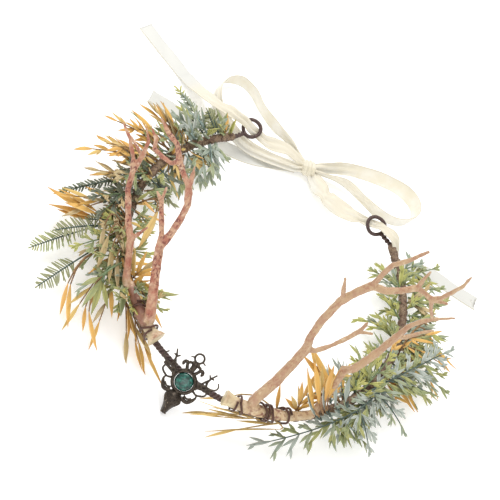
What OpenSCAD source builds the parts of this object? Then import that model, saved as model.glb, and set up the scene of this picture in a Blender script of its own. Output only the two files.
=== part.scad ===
// Antler crown: a wire oval wound with florist's tape, two forked antlers, leaf sprigs,
// a stag pendant in front and a ribbon tied in a bow behind. It rests on a table at z = 0.
// X points to the wearer's left, Y to the back of the head and Z up. Lengths are millimetres.

/* [Wire oval] */
// Half width of the oval, to the middle of the wire
oval_half_width = 85; // [80:1:90]
// Half length of the oval, front to back
oval_half_length = 98; // [94:1:102]
// Height of the wire's middle above the table
band_rise = 16; // [15:0.5:18]
// Diameter of the wire where tape and stems are wound round it
tape_d = 5; // [4.4:0.1:5.2]
// Diameter of the bare twisted wire behind the pendant
wire_d = 3.6; // [3:0.1:4]
// Angle from the front at which the band stops, on each side
band_end = 133; // [128:1:136]
// Middle of the left eye
eye_left_at = [-50, 88];
// Middle of the right eye
eye_right_at = [43, 80];
// Radius of an eye, to the middle of its wire
eye_r = 5.4; // [5:0.1:6]
// Diameter of the eye's wire
eye_wire_d = 2.2; // [1.8:0.1:2.4]

/* [Antlers] */
// Scale of both antlers' thickness
antler_thickness = 1; // [0.8:0.05:1.05]
// How far the antlers lean back from upright, in degrees
antler_lean = 15; // [10:1:18]
// How far each antler's plane turns with the band, in degrees
antler_yaw = 25; // [20:1:28]
// Diameter of the binding wire
binding_d = 1.1; // [0.8:0.1:1.2]

/* [Pendant] */
// Radius of the green stone
stone_r = 5; // [4.6:0.1:5.2]
// Height of the stone's dome
stone_h = 2.4; // [2:0.1:2.8]
// How far the pendant leans back, in degrees
pendant_lean = 40; // [38:1:45]
// Thickness of the pendant's plate
plate_t = 2; // [1.6:0.1:2.2]

/* [Ribbon] */
// Thickness of the ribbon
ribbon_t = 1; // [0.8:0.1:1.2]
// Middle of the bow's knot
knot_at = [-8, 99, 5.5];

/* [Leaves] */
// Thickness of a leaf
leaf_t = 1; // [0.8:0.1:1.2]
// Radius of a sprig's stem
stem_r = 0.6; // [0.5:0.05:0.7]

/* [Hidden] */
$fn = 32;
UP = [0, 0, 1];
gap = 0.3;
tape_r = tape_d / 2;
wire_r = wire_d / 2;
// The oval is four arcs: its ends turn about (0, end_c) and its sides about (side_c, 0)
end_c = 22;
end_r = oval_half_length - end_c;
oval_k = oval_half_width - end_r;
side_c = (end_c * end_c - oval_k * oval_k) / (2 * oval_k);
side_r = oval_half_width + side_c;
join = 90 - atan2(end_c, side_c);
// The bare wire runs between these two angles
bare_from = -29.5;
bare_to = 12;

// Stems of leaves. A sprig's first stem is seated on the band at an angle from the front; its
// further stems fork from the first, so far along it.
// columns: sprig, kind, seat angle, heading, rise, length, droop, bow, fork
SPRIGS = [
    ["hang_a", "hang", -54, 35, -5, 48, 4, 0, 0],
    ["hang_a", "hang", -54, 50, -5, 42, 2, 0, 0.45],
    ["hang_a", "hang", -54, 60, -5, 40, 2, 0, 0.45],
    ["hang_b", "hang", -60, 15, 0, 58, 8, 0, 0],
    ["hang_c", "hang", -64, 0, 0, 62, 7, 0, 0],
    ["green_a", "leafy", -46, 135, 40, 18, 2, 0, 0],
    ["yellow_a", "blade", -52, 140, 75, 20, 2, 0, 0],
    ["green_b", "leafy", -57, -10, 15, 24, 4, 0, 0],
    ["green_b", "leafy", -57, -25, 5, 28, 4, 0, 0.3],
    ["fern_a", "fern", -68, -20, 0, 62, 8, 0, 0],
    ["fern_b", "fern", -73, -35, 0, 58, 8, 0, 0],
    ["fern_b", "fern", -73, -40, 10, 32, 4, 0, 0.25],
    ["green_c", "leafy", -67, -30, 20, 40, 5, 0, 0],
    ["green_c", "leafy", -67, -10, 5, 28, 5, 0, 0.3],
    ["tan_a", "willow", -71, 5, 25, 36, 6, 0, 0],
    ["yellow_b", "hang", -79, -50, 15, 54, 4, 0, 0],
    ["yellow_b", "hang", -79, -30, 15, 36, 4, 0, 0.35],
    ["dark_a", "leafy", -83, -30, 25, 40, 3, 0, 0],
    ["dark_a", "leafy", -83, -10, 15, 30, 3, 0, 0.3],
    ["beige_a", "willow", -89, -45, 25, 46, 3, 0, 0],
    ["heather", "needle", -92, -35, 5, 58, 5, 0, 0],
    ["green_d", "leafy", -93, -20, 30, 42, 2, 0, 0],
    ["willow_a", "hang", -96, -35, 15, 46, 4, 0, 0],
    ["willow_b", "willow", -100, -45, 20, 62, 5, 0, 0],
    ["willow_b", "willow", -100, -55, 30, 34, 3, 0, 0.35],
    ["willow_c", "willow", -107, -60, 25, 56, 4, 0, 0],
    ["willow_c", "willow", -107, -60, 40, 30, 4, 0, 0.3],
    ["blue_a", "spray", -110, -45, 40, 34, 3, 0, 0],
    ["willow_d", "hang", -113, -75, 35, 44, 4, 0, 0],
    ["blue_b", "spray", -117, -65, 45, 30, 3, 0, 0],
    ["blue_b", "spray", -117, -110, 60, 20, 3, 0, 0.2],
    ["top_a", "spray", -123, -95, 35, 28, 4, 0, 0],
    ["top_a", "needle", -123, -120, 10, 32, 5, 0, 0.35],
    ["top_b", "fern", -127, -105, 40, 18, 2, 0, 0],
    ["lime_a", "blade", -130, -100, 35, 15, 0, 0, 0],
    ["in_blue", "spray", -122, 35, 0, 26, 6, 0, 0],
    ["in_blue", "spray", -122, 5, 5, 22, 6, 0, 0.2],
    ["in_yellow", "willow", -110, 30, 5, 30, 6, 0, 0],
    ["in_fern", "fern", -101, 20, -10, 26, 4, 0, 0],
    ["in_leaf", "willow", -78, 85, 10, 20, 2, 0, 0],
    ["straw", "straw", 23.5, -50, -5, 32, 3, -3, 0],
    ["straw", "straw", 23.5, -65, -5, 30, 1, 0, 0.4],
    ["star", "blade", 41, -160, 70, 24, 2, 0, 0],
    ["yellow_c", "blade", 53, -105, 45, 36, 0, 0, 0],
    ["yellow_c", "leafy", 53, 160, 55, 24, 1, 0, 0.3],
    ["silver_a", "silver", 79, 5, 15, 86, 28, -45, 0],
    ["silver_a", "leafy", 79, 70, 5, 30, 4, 0, 0.2],
    ["silver_a", "leafy", 79, 50, 0, 26, 4, 0, 0.45],
    ["silver_b", "silver", 66, 150, 15, 74, 5, 0, 0],
    ["silver_b", "spray", 66, 125, -5, 40, 5, 0, 0.35],
    ["silver_c", "spray", 58, 75, -20, 20, 2, 0, 0],
    ["silver_c", "spray", 58, 90, -15, 30, 1, 0, 0.2],
    ["lime_b", "leafy", 69, 170, 35, 30, 1, 0, 0],
    ["lime_b", "leafy", 69, -140, 35, 18, 1, 0, 0.35],
    ["yellow_d", "willow", 81, 100, 0, 32, 6, 0, 0],
    ["grey_a", "spray", 85, 130, 0, 44, 5, 0, 0],
    ["grey_a", "spray", 85, 115, -5, 36, 5, 0, 0.3],
    ["fern_c", "fern", 90, 135, 15, 32, 3, 0, 0],
    ["yellow_e", "hang", 95, 115, 0, 46, 5, 0, 0],
    ["grey_b", "spray", 99, 135, 0, 36, 3, 0, 0],
    ["in_a", "leafy", 98, -105, 0, 20, 3, 0, 0],
    ["in_a", "spray", 98, -90, -5, 24, 3, 0, 0.2],
    ["in_b", "leafy", 117, -115, -5, 22, 3, 0, 0],
    ["out_a", "leafy", 110, 145, 0, 34, 3, 0, 0],
    ["out_b", "leafy", 121, 150, 0, 36, 3, 0, 0],
    ["out_b", "spray", 121, 130, 10, 18, 3, 0, 0.3]
];
// Kinds of stem.
// columns: kind, leaves, leaf length, leaf width, leaf angle, first leaf, shrink, paired, colour
KINDS = [
    ["hang", 3, 24, 3.4, 18, 0.3, 0.1, false, "goldenrod"],
    ["willow", 3, 17, 3.4, 30, 0.25, 0.2, false, "darkkhaki"],
    ["leafy", 3, 12, 3.4, 42, 0.2, 0.2, false, "olivedrab"],
    ["blade", 3, 15, 3.4, 26, 0.1, 0, false, "yellowgreen"],
    ["fern", 3, 9, 3, 60, 0.28, 0.3, true, "darkseagreen"],
    ["needle", 3, 7, 2, 55, 0.3, 0.2, true, "slategray"],
    ["spray", 2, 13, 2.8, 38, 0.3, 0.2, false, "lightslategray"],
    ["silver", 4, 15, 3, 36, 0.3, 0.3, true, "silver"],
    ["straw", 1, 22, 1.5, 12, 0.3, 0.1, false, "khaki"]
];

sprig_names = [
    for (i = [0:len(SPRIGS) - 1])
        if (i == 0 || SPRIGS[i][0] != SPRIGS[max(i - 1, 0)][0]) SPRIGS[i][0]
];

function unit(v) = v / norm(v);
function spin(v, axis, a) = v * cos(a) + cross(axis, v) * sin(a) + axis * (axis * v) * (1 - cos(a));

// Direction that points outwards from the oval at an angle from the front
function outward(t) = [sin(t), -cos(t), 0];
// Direction along the oval, towards greater angles
function along(t) = [cos(t), sin(t), 0];
// Whether an angle lies on one of the oval's sides
function on_side(t) = abs(t) >= join && abs(t) < 180 - join;
// Middle of the arc that holds this angle, and its radius
function arc_c(t) = on_side(t) ? [-sign(t) * side_c, 0, 0] : [0, abs(t) < join ? -end_c : end_c, 0];
function arc_r(t) = on_side(t) ? side_r : end_r;
// Point on the middle of the wire
function band_at(t) = arc_c(t) + arc_r(t) * outward(t) + band_rise * UP;

// Ring of n points round a place, square to a direction
function ring(p, d, r, n) =
    let (side = unit(cross(abs(unit(d).z) < 0.9 ? UP : [1, 0, 0], d)), up = unit(cross(d, side)))
    [for (i = [0:n - 1]) p + r * (cos(360 * i / n) * side + sin(360 * i / n) * up)];

// Solid that fills the space between points
module skin(points) {
    hull() polyhedron(points = points, faces = [[for (i = [0:len(points) - 1]) i]]);
}

// Tapered limb through a list of [point, radius]
module limb(stations, sides) {
    last = len(stations) - 1;
    dirs = [for (i = [0:last]) unit(stations[min(i + 1, last)][0] - stations[max(i - 1, 0)][0])];
    for (i = [0:last - 1])
        skin(concat(ring(stations[i][0], dirs[i], stations[i][1], sides),
            ring(stations[i + 1][0], dirs[i + 1], stations[i + 1][1], sides)));
}

// Closed tube of rings along a path, with one radius for each place
module tube(path, radii, sides) {
    last = len(path) - 1;
    points = [for (i = [0:last])
        each ring(path[i], path[min(i + 1, last)] - path[max(i - 1, 0)], radii[i], sides)];
    walls = [for (i = [0:last - 1]) for (k = [0:sides - 1])
        let (a = i * sides + k, b = i * sides + (k + 1) % sides)
        each [[a, b, b + sides], [a, b + sides, a + sides]]];
    caps = [[for (k = [sides - 1:-1:0]) k], [for (k = [0:sides - 1]) last * sides + k]];
    polyhedron(points = points, faces = concat(walls, caps));
}

// Angle between two rings of the band, where it is taped and where it is bare
taped_step = 6.4;
bare_step = 6.8;
// The tape stops on both sides of the bare wire
module band() {
    stops = concat(
        [for (t = [-band_end:taped_step:bare_from - 2]) t],
        [bare_from, bare_from + 1],
        [for (t = [bare_from + 1 + bare_step:bare_step:bare_to - 2]) t],
        [bare_to - 1, bare_to],
        [for (t = [bare_to + 5:taped_step:band_end - 2]) t],
        [band_end]
    );
    radii = [for (t = stops) t > bare_from && t < bare_to ? wire_r : tape_r];
    color("saddlebrown") tube([for (t = stops) band_at(t)], radii, 8);
}

// Wire loop beyond one end of the band, tilted to the front, on a straight neck
eye_tilt = 25;
// Distance between the end of the band and the start of an eye's neck
eye_off = gap + 0.5;
module eye(middle, end) {
    centre = [middle.x, middle.y, band_rise];
    away = end - centre;
    angle = atan2(away.y / cos(eye_tilt), away.x);
    joint = centre + eye_r * [cos(angle), sin(angle) * cos(eye_tilt), sin(angle) * sin(eye_tilt)];
    neck = joint - end;
    run = unit(neck);
    color("dimgray") {
        translate(end + eye_off * run)
            rotate([0, acos(run.z), atan2(run.y, run.x)])
                cylinder(d = eye_wire_d, h = norm(neck) - eye_off);
        translate(centre) rotate([eye_tilt, 0, 0])
            rotate_extrude() translate([eye_r, 0]) circle(d = eye_wire_d);
    }
}

module eye_left() { eye(eye_left_at, band_at(-band_end)); }
module eye_right() { eye(eye_right_at, band_at(band_end)); }

// An antler's foot lies on the taped wire, a little outside its top
foot_r = 3.5 * antler_thickness;
foot_slant = 65;
function foot_dir(t) = cos(foot_slant) * outward(t) + sin(foot_slant) * UP;
function foot_at(t, r = foot_r) = band_at(t) + (tape_r + gap + min(r, foot_r)) * foot_dir(t);

// Branches of an antler in its own plane, one list of stations each.
// columns of a station: across, up, front, radius
BRANCHES_LEFT = [
    [[0, 0, 0, 3.3], [-1, 3, 0, 3.3], [6, 12, -1, 3.1], [13, 20, -2, 2.8],
        [18, 26, -3, 2.6], [23, 33, -3, 2.8]],
    [[23, 33, -3, 2.1], [27, 38, -4, 1.7], [35, 44, -6, 1.6], [41, 48, -8, 1.6], [47, 49, -9, 0.8]],
    [[41, 48, -8, 1.4], [44, 56, -8, 0.8]],
    [[23, 33, -3, 2.6], [23, 44, -2, 2.3], [24, 55, 0, 2.1], [26, 66, 2, 2], [31, 74, 4, 2.1]],
    [[31, 74, 4, 1.8], [33, 81, 6, 1.4], [35, 87, 8, 0.7]],
    [[31, 74, 4, 1.8], [38, 78, 6, 1.7], [43, 82, 8, 1.8], [48, 89, 12, 1.6],
        [55, 91, 15, 1.5], [62, 94, 17, 0.8]],
    [[43, 82, 8, 1.6], [45, 77, 8, 1.5], [50, 76, 9, 1.5], [56, 76, 11, 1.5],
        [58, 82, 13, 1.3], [63, 85, 15, 0.7]],
    [[22, 0, -5, 2.4], [25, 3, -5, 2.4], [33, 12, -6, 2.1], [39, 19, -7, 2.3], [47, 24, -8, 2],
        [59, 36, -8, 1.8], [63, 44, -8, 1.9]],
    [[39, 19, -7, 1.5], [38, 24, -8, 1.3], [37, 31, -9, 0.8]],
    [[63, 44, -8, 1.6], [68, 51, -7, 1.4], [76, 58, -5, 1.2], [84, 62, -3, 0.7]],
    [[63, 44, -8, 1.7], [66, 54, -10, 1.6], [69, 62, -11, 1.3], [75, 66, -11, 0.7]],
    [[66, 54, -10, 1.3], [75, 54, -12, 1], [84, 54, -13, 0.7]]
];
BRANCHES_RIGHT = [
    [[0, 0, 0, 3.4], [-4, 5, 0, 3.3], [2, 19, -2, 3], [6, 30, -4, 2.7], [9, 44, -5, 2.8]],
    [[9, 44, -5, 2], [15, 43, -6, 1.6], [22, 47, -8, 1.4], [28, 53, -9, 1.4],
        [33, 59, -10, 1.4], [34, 67, -9, 0.8]],
    [[33, 59, -10, 1.2], [41, 60, -10, 0.8]],
    [[9, 44, -5, 2.7], [7, 53, -4, 2.3], [7, 64, -3, 2.3], [8, 77, -1, 2.3], [9, 83, 0, 2.5]],
    [[9, 83, 0, 1.7], [5, 91, 3, 1.4], [1, 100, 5, 1]],
    [[9, 83, 0, 2.4], [13, 92, 2, 2.4], [17, 99, 4, 2.5]],
    [[17, 99, 4, 1.9], [17, 108, 6, 1.6], [18, 117, 8, 1.7], [23, 123, 10, 1.4], [29, 133, 12, 0.8]],
    [[17, 99, 4, 2.3], [24, 99, 5, 2.1], [31, 103, 7, 1.9], [37, 108, 8, 2]],
    [[37, 108, 8, 1.5], [36, 115, 10, 1.2], [36, 122, 12, 0.8]],
    [[37, 108, 8, 1.7], [42, 106, 8, 1.5], [47, 104, 9, 1.7]],
    [[47, 104, 9, 1.5], [50, 108, 11, 1.4], [52, 114, 13, 1.3], [54, 121, 15, 1.1], [54, 129, 17, 0.7]],
    [[47, 104, 9, 1.4], [56, 105, 10, 1]],
    [[47, 104, 9, 1.4], [51, 97, 7, 1.2], [56, 90, 5, 1]],
    [[34, 2, -6, 2.5], [36, 18, -7, 2.2], [37, 33, -8, 2.2], [42, 37, -8, 2.4], [47, 46, -9, 2.4],
        [51, 57, -9, 2.2], [53, 63, -9, 2.3]],
    [[42, 37, -8, 1.5], [33, 37, -6, 0.9]],
    [[53, 63, -9, 1.9], [55, 72, -8, 1.7], [59, 78, -7, 1.5], [64, 82, -6, 1.3], [74, 87, -5, 0.7]],
    [[53, 63, -9, 1.6], [58, 63, -10, 1.4], [64, 67, -11, 1.3], [72, 71, -12, 0.8]]
];
// Foot of each antler along the band, from its flared end.
// columns: angle from the front, radius
FOOT_LEFT = [
    [-25.5, 6], [-27, 4.7], [-28.5, 3.3], [-34, 3.4],
    [-38, 3.3], [-42, 3.1], [-46, 2.9], [-50, 2.6]
];
FOOT_RIGHT = [
    [8.5, 5], [10, 4.1], [11.5, 3.4], [17, 3.5], [22, 3.5], [26, 3.4],
    [30, 3.3], [34, 3.1], [38, 2.9], [42, 2.7], [47, 2.5]
];
root_left = -34;
root_right = 22;
// Stations of this radius and more start a main branch, which has more sides
main_branch_r = 2.2;

// A station of an antler's plane as [place, radius]
function antler_station(root, side, s) =
    let (yaw = side * antler_yaw, lean = antler_lean,
        across = side * along(yaw),
        front = [sin(yaw) * cos(lean), -cos(yaw) * cos(lean), sin(lean)],
        up = [-sin(yaw) * sin(lean), cos(yaw) * sin(lean), cos(lean)])
    [foot_at(root) + s[0] * across + s[1] * up + s[2] * front, s[3] * antler_thickness];

module antler(root, side, branches, foot) {
    for (b = branches)
        limb([for (s = b) antler_station(root, side, s)], b[0][3] > main_branch_r ? 6 : 5);
    difference() {
        limb([for (f = foot) [foot_at(f[0], f[1] * antler_thickness), f[1] * antler_thickness]], 7);
        limb([for (a = [-3:2:3]) [band_at(foot[0][0] + a), wire_r + gap]], 7);
    }
}

module antler_left() { color("lightsalmon") antler(root_left, -1, BRANCHES_LEFT, FOOT_LEFT); }
module antler_right() { color("burlywood") antler(root_right, 1, BRANCHES_RIGHT, FOOT_RIGHT); }

// Where the binding passes over the top of the foot.
// columns: turn, angle from the front
TURNS_LEFT = [[0, -29], [1, -30], [2, -40.4], [3, -41.6]];
TURNS_RIGHT = [[0, 13.4], [1, 14.6], [2, 25.4], [3, 26.6], [4, 27.8], [5, 35], [6, 36.2]];
turn_steps = 8;
// Share of its diameter by which a binding's middle keeps off what it ties
binding_off = 0.8;

// Place of the binding round foot and tape together, at a number of turns
function binding_at(turns, foot, n) =
    let (
        t = lookup(n, turns),
        m = foot_dir(t),
        b = cross(along(t), m),
        r = lookup(t, foot) * antler_thickness,
        clear = gap + binding_off * binding_d,
        reach = cos(360 * n) * m + sin(360 * n) * b
    )
    cos(360 * n) >= 0 ? foot_at(t, r) + (r + clear) * reach : band_at(t) + (tape_r + clear) * reach;

module binding(turns, foot) {
    last = turns[len(turns) - 1][0];
    color("sienna")
        tube([for (i = [0:last * turn_steps]) binding_at(turns, foot, i / turn_steps)],
            [for (i = [0:last * turn_steps]) binding_d / 2], 4);
}

module binding_left() { binding(TURNS_LEFT, FOOT_LEFT); }
module binding_right() { binding(TURNS_RIGHT, FOOT_RIGHT); }

// The pendant's strokes to one side, in its own plane; the other side mirrors them.
// columns of a station: across, up, out of the plate, radius
FILIGREE = [
    [[5.8, 2.4, 0.9, 0.9], [11, 4, 1, 0.7], [16, 5.4, 1, 0.55], [15.3, 9.3, 1, 0.5]],
    [[11, 4, 1, 0.7], [10.7, 8.8, 1, 0.6], [12.6, 12.6, 1, 0.5]],
    [[10.7, 8.8, 1, 0.6], [9.2, 10.6, 1, 0.5]],
    [[6.4, -1.4, 0.9, 0.7], [11, -1.8, 0.9, 0.6], [13.2, 1, 0.9, 0.6], [11, 3.6, 0.9, 0.6]],
    [[2.2, 6, 1, 1], [3.6, 9.6, 1, 0.9], [5.6, 8.8, 1, 0.8]],
    [[3.6, -7.4, 0.8, 1], [6.6, -8.4, 0.8, 1.1], [9, -6.2, 0.8, 1], [9.6, -3, 0.8, 0.5]]
];
ring_up = 14.6;
ring_r = 2.5;
ring_wire = 0.6;
muzzle_up = -19.8;

// Angle of the band at which the pendant hangs, and how far its stone lies below the wire
pendant_seat = -7.5;
pendant_drop = 2.2;

// The pendant hangs in front of the bare wire, tilted towards a viewer in front and above
module at_pendant() {
    translate([band_at(pendant_seat).x, -oval_half_length, band_rise]
        + [0, -cos(pendant_lean), sin(pendant_lean)] * (wire_r + gap))
        rotate([90 - pendant_lean, 0, 0])
            translate([0, -pendant_drop, 0])
                children();
}

module stroke(stations) {
    limb([for (s = stations) [[s[0], s[1], max(s[2], s[3])], s[3]]], 5);
}

module stag_head() {
    skin([for (x = [-1, 1]) each [[4.6 * x, -7.6, 0], [3.4 * x, -8, 2.6], [5.2 * x, -11, 0.2],
        [1.5 * x, muzzle_up, 0], [1.2 * x, muzzle_up + 0.6, 1.8], [2 * x, -12, 3]]]);
}

module pendant() {
    color("dimgray") at_pendant() {
        difference() {
            cylinder(r = stone_r + 1.7, h = plate_t + 0.8, $fn = 24);
            translate([0, 0, plate_t / 2]) cylinder(r = stone_r + gap, h = plate_t + 1, $fn = 24);
        }
        for (side = [0, 1]) mirror([side, 0, 0]) {
            for (s = FILIGREE) stroke(s);
            stroke([[ring_r, ring_up, 0.9, 0.5], [ring_r + 2, ring_up, 0.9, 0.2]]);
        }
        stroke([[0, 6, 0.9, 1.4], [0, 9.6, 1.2, 1.7], [0, ring_up - ring_r, 0.9, 0.9]]);
        stroke([[0, -5.8, 0.9, 1.3], [0, -9, 1.2, 1.6]]);
        stroke([for (a = [0:45:360]) [ring_r * sin(a), ring_up - ring_r * cos(a), 0.9, ring_wire]]);
        stag_head();
    }
}

module stone() {
    dome = (stone_r * stone_r + stone_h * stone_h) / (2 * stone_h);
    color("darkslategray") at_pendant() translate([0, 0, plate_t / 2 + 0.1])
        intersection() {
            translate([0, 0, stone_h - dome]) sphere(r = dome);
            cylinder(r = stone_r, h = stone_h + 1);
        }
}

// Smooth curve between b and c, with a before and d after them; u runs from 0 to 1
function curve(a, b, c, d, u) = 0.5 * (2 * b + (c - a) * u
    + (2 * a - 5 * b + 4 * c - d) * u * u
    + (3 * b - 3 * c + d - a) * u * u * u);

// Smooth run of rows through the rows of a table, so many steps to each gap
function smooth(rows, steps) =
    let (last = len(rows) - 1)
    concat(
        [for (i = [0:last - 1]) for (k = [0:steps - 1])
            curve(rows[max(i - 1, 0)], rows[i], rows[i + 1], rows[min(i + 2, last)], k / steps)],
        [rows[last]]
    );

function place(row) = [row[0], row[1], row[2]];

// The four corners of a ribbon's section at a row, between the rows before and after it
function ribbon_section(before, row, after) =
    let (
        d = unit(place(after) - place(before)),
        w = spin(unit(cross(UP, d)), d, row[3]) * row[4] / 2,
        n = unit(cross(d, w)) * ribbon_t / 2
    )
    [for (corner = [w + n, n - w, -w - n, w - n]) place(row) + corner];

// Ribbon along rows of x, y, z, turn and width: a turn of 0 lies flat and 90 stands on its edge
module ribbon(rows) {
    path = smooth(rows, 2);
    last = len(path) - 1;
    end = 4 * last;
    points = [for (i = [0:last])
        each ribbon_section(path[max(i - 1, 0)], path[i], path[min(i + 1, last)])];
    walls = [for (i = [0:last - 1]) for (k = [0:3])
        let (a = 4 * i + k, b = 4 * i + (k + 1) % 4)
        each [[a, a + 4, b + 4], [a, b + 4, b]]];
    caps = [[0, 1, 2], [0, 2, 3], [end + 2, end + 1, end], [end + 3, end + 2, end]];
    color("ivory") polyhedron(points = points, faces = concat(walls, caps));
}

// columns of every ribbon: x, y, z, turn, width
RIBBON_LEFT = [
    [-15, 98, 8.4, 0, 6], [-24, 98, 9.5, 0, 9], [-34, 92, 11.5, -10, 9],
    [-41, 89.5, 13, -25, 6], [-44.6, 89, 13.8, -25, 6], [-50, 88, 16, -25, 6],
    [-55.4, 87, 18.3, -25, 6], [-59.5, 87, 19, -25, 6], [-66, 87, 18.5, -10, 8],
    [-74, 90, 15, 0, 9], [-83, 97, 9, 0, 10], [-93, 104, 3.5, 0, 10],
    [-104, 111, 1, 0, 10], [-120, 118, 1, 0, 10], [-137, 126, 1, 0, 10]
];
RIBBON_RIGHT = [
    [-1.6, 97, 6, 0, 6], [7, 89, 5, 0, 9], [18, 84, 6, 0, 10], [28, 81.5, 10, 10, 8],
    [34, 81.4, 12.3, 24, 5.6], [37.6, 81.2, 13.6, 24, 5.6], [43, 79.6, 16, 20, 6],
    [47.2, 75.4, 18.2, 5, 6], [50.2, 70.5, 16.6, -15, 6.5], [52.5, 66, 12, -10, 8],
    [57, 64, 7, 0, 9], [64, 68, 3, 0, 10], [72, 78, 1.2, 0, 10], [81, 86, 1, 0, 10],
    [92, 89, 1, 0, 10], [107, 89, 1, 0, 10], [123, 90, 1, 0, 10]
];
LOOP_LEFT = [
    [-15, 103.4, 5.6, 60, 6], [-25, 108, 6, 75, 8], [-38, 112, 6.5, 80, 10],
    [-50, 118, 6.5, 80, 10], [-60, 126, 6.5, 80, 10], [-70, 128, 6.5, 80, 10],
    [-78, 121, 6.5, 80, 10], [-79, 109, 6.2, 80, 9], [-73, 98, 6.2, 70, 8],
    [-62, 89, 6.2, 65, 8], [-48, 84, 6.2, 65, 8], [-32, 86, 6, 65, 7], [-15.5, 92.5, 5.6, 60, 6]
];
LOOP_RIGHT = [
    [-2, 104.4, 6, 60, 8], [8, 114, 6, 75, 9], [22, 122, 6.5, 80, 10], [37, 128, 6.5, 80, 10],
    [52, 130, 6.5, 80, 10], [62, 124, 6.5, 80, 10], [63, 113, 6.5, 80, 10], [56, 104, 6.5, 80, 10],
    [44, 101, 6, 80, 10], [30, 104, 6, 80, 9], [15, 106, 6, 75, 9], [-0.6, 101, 5, 60, 7]
];
RIBBON_TAIL = [
    [-14.5, 97, 1.2, 0, 6], [-27, 90, 1, 0, 8], [-42, 82, 1, 0, 10], [-60, 77, 1, 0, 10],
    [-78, 78, 1, 0, 10], [-95, 79, 1, 0, 10], [-110, 78, 1, 0, 10]
];

module ribbon_left() { ribbon(RIBBON_LEFT); }
module ribbon_right() { ribbon(RIBBON_RIGHT); }
module loop_left() { ribbon(LOOP_LEFT); }
module loop_right() { ribbon(LOOP_RIGHT); }
module ribbon_tail() { ribbon(RIBBON_TAIL); }

// Knot of the bow, a barrel along the line between its loops.
// columns: place along the barrel, radius
BARREL = [[-5.4, 2.4], [-2.6, 4.6], [2.6, 4.6], [5.4, 2.4]];
module knot() {
    run = unit([0.9, 0.4, 0]);
    color("ivory") limb([for (s = BARREL) [knot_at + s[0] * run, s[1]]], 10);
}

// A stem's last leaf has this share of its kind's leaf length
last_leaf = 0.8;
// Leaves of two hands are set apart by this share of a step along the stem
hand_shift = 0.12;
// A stem loses this share of its radius towards its end
stem_taper = 0.3;
// A leaf starts so far inside its stem, and is widest at this share of its length
leaf_root = 0.4;
leaf_widest = 0.42;
// Lowest places of a stem's middle and of a leaf above the table
stem_clear = 1;
leaf_clear = 0.3;

function kind_of(s) = [for (k = KINDS) if (k[0] == s[1]) k][0];
// Length of a stem up to its last leaf
function stem_of(s) = s[5] - last_leaf * kind_of(s)[2];
function stem_dir(s) = cos(s[4]) * outward(s[3]) + sin(s[4]) * UP;
// Where a stem starts: just off the tape, or on the first stem of its sprig
function stem_foot(s) =
    let (d = stem_dir(s), run = d * along(s[2]), off = unit(d - run * along(s[2])))
    s[8] > 0 ? stem_at([for (r = SPRIGS) if (r[0] == s[0]) r][0], s[8])
        : band_at(s[2]) + (tape_r + gap + stem_r * abs(run)) * off;
// Place on a stem and direction there, u from 0 at its foot to 1 at its end
function stem_at(s, u) =
    stem_foot(s) + stem_of(s) * u * stem_dir(s) + u * u * (s[7] * along(s[3]) - s[6] * UP);
function stem_run(s, u) = unit(stem_of(s) * stem_dir(s) + 2 * u * (s[7] * along(s[3]) - s[6] * UP));
// Pieces of a stem: more of them where it bows or droops more
function stem_steps(s) = abs(s[7]) > 12 ? 9 : s[6] > 5 ? 4 : s[6] > 1 ? 3 : 1;
// A place that is kept above the table by at least so much
function above(p, least) = [p.x, p.y, max(p.z, least)];
function on_stem(s, u) = above(stem_at(s, u), stem_clear);

// Pointed leaf from a place, in a direction, flat across side, with a ridge along its upper face
module leaf(p, d, side, length, width) {
    middle = p + leaf_widest * length * d;
    ridge = middle + leaf_t * unit(cross(d, side));
    points = [p - leaf_root * d, p + length * d, middle + side * width / 2, middle - side * width / 2, ridge];
    skin([for (q = points) above(q, leaf_clear)]);
}

module stem(s) {
    kind = kind_of(s);
    count = kind[1];
    steps = stem_steps(s);
    limb([for (i = [0:steps]) [on_stem(s, i / steps), stem_r * (1 - stem_taper * i / steps)]], 3);
    for (i = [0:count]) for (hand = [-1, 1]) {
        last = i == count;
        u = last ? 1 : kind[5] + (1 - kind[5]) * (i + hand_shift * hand) / count;
        run = stem_run(s, u);
        across = unit(along(s[3]) - (along(s[3]) * run) * run);
        turned = last ? 0 : kind[4] * hand;
        d = cos(turned) * run + sin(turned) * across;
        side = cos(turned) * across - sin(turned) * run;
        length = kind[2] * (last ? last_leaf : 1 - kind[6] * u);
        if (last && hand > 0 || !last && (kind[7] || i % 2 == (hand + 1) / 2))
            leaf(on_stem(s, u), d, side, length, kind[3]);
    }
}

module sprig(name) {
    for (s = SPRIGS) if (s[0] == name) color(kind_of(s)[8]) stem(s);
}

band();
eye_left();
eye_right();
antler_left();
antler_right();
binding_left();
binding_right();
pendant();
stone();
knot();
ribbon_left();
ribbon_right();
loop_left();
loop_right();
ribbon_tail();
for (name = sprig_names) sprig(name);
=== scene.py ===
# %% [markdown]
# # An antler crown, dressed in Blender
# The crown is an oval of taped wire with two resin antlers, sprigs of plastic leaves, a bronze stag
# pendant and a satin ribbon. The CAD model gives every piece its place and size. This lesson gives
# each piece its real surface: it loads the CAD model as a fixed frame, builds finer pieces over it,
# and hides the plain solid that each of them stands for.

import math
import random
from collections import namedtuple

import bpy
import numpy as np
from mathutils import Matrix, Vector


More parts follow.
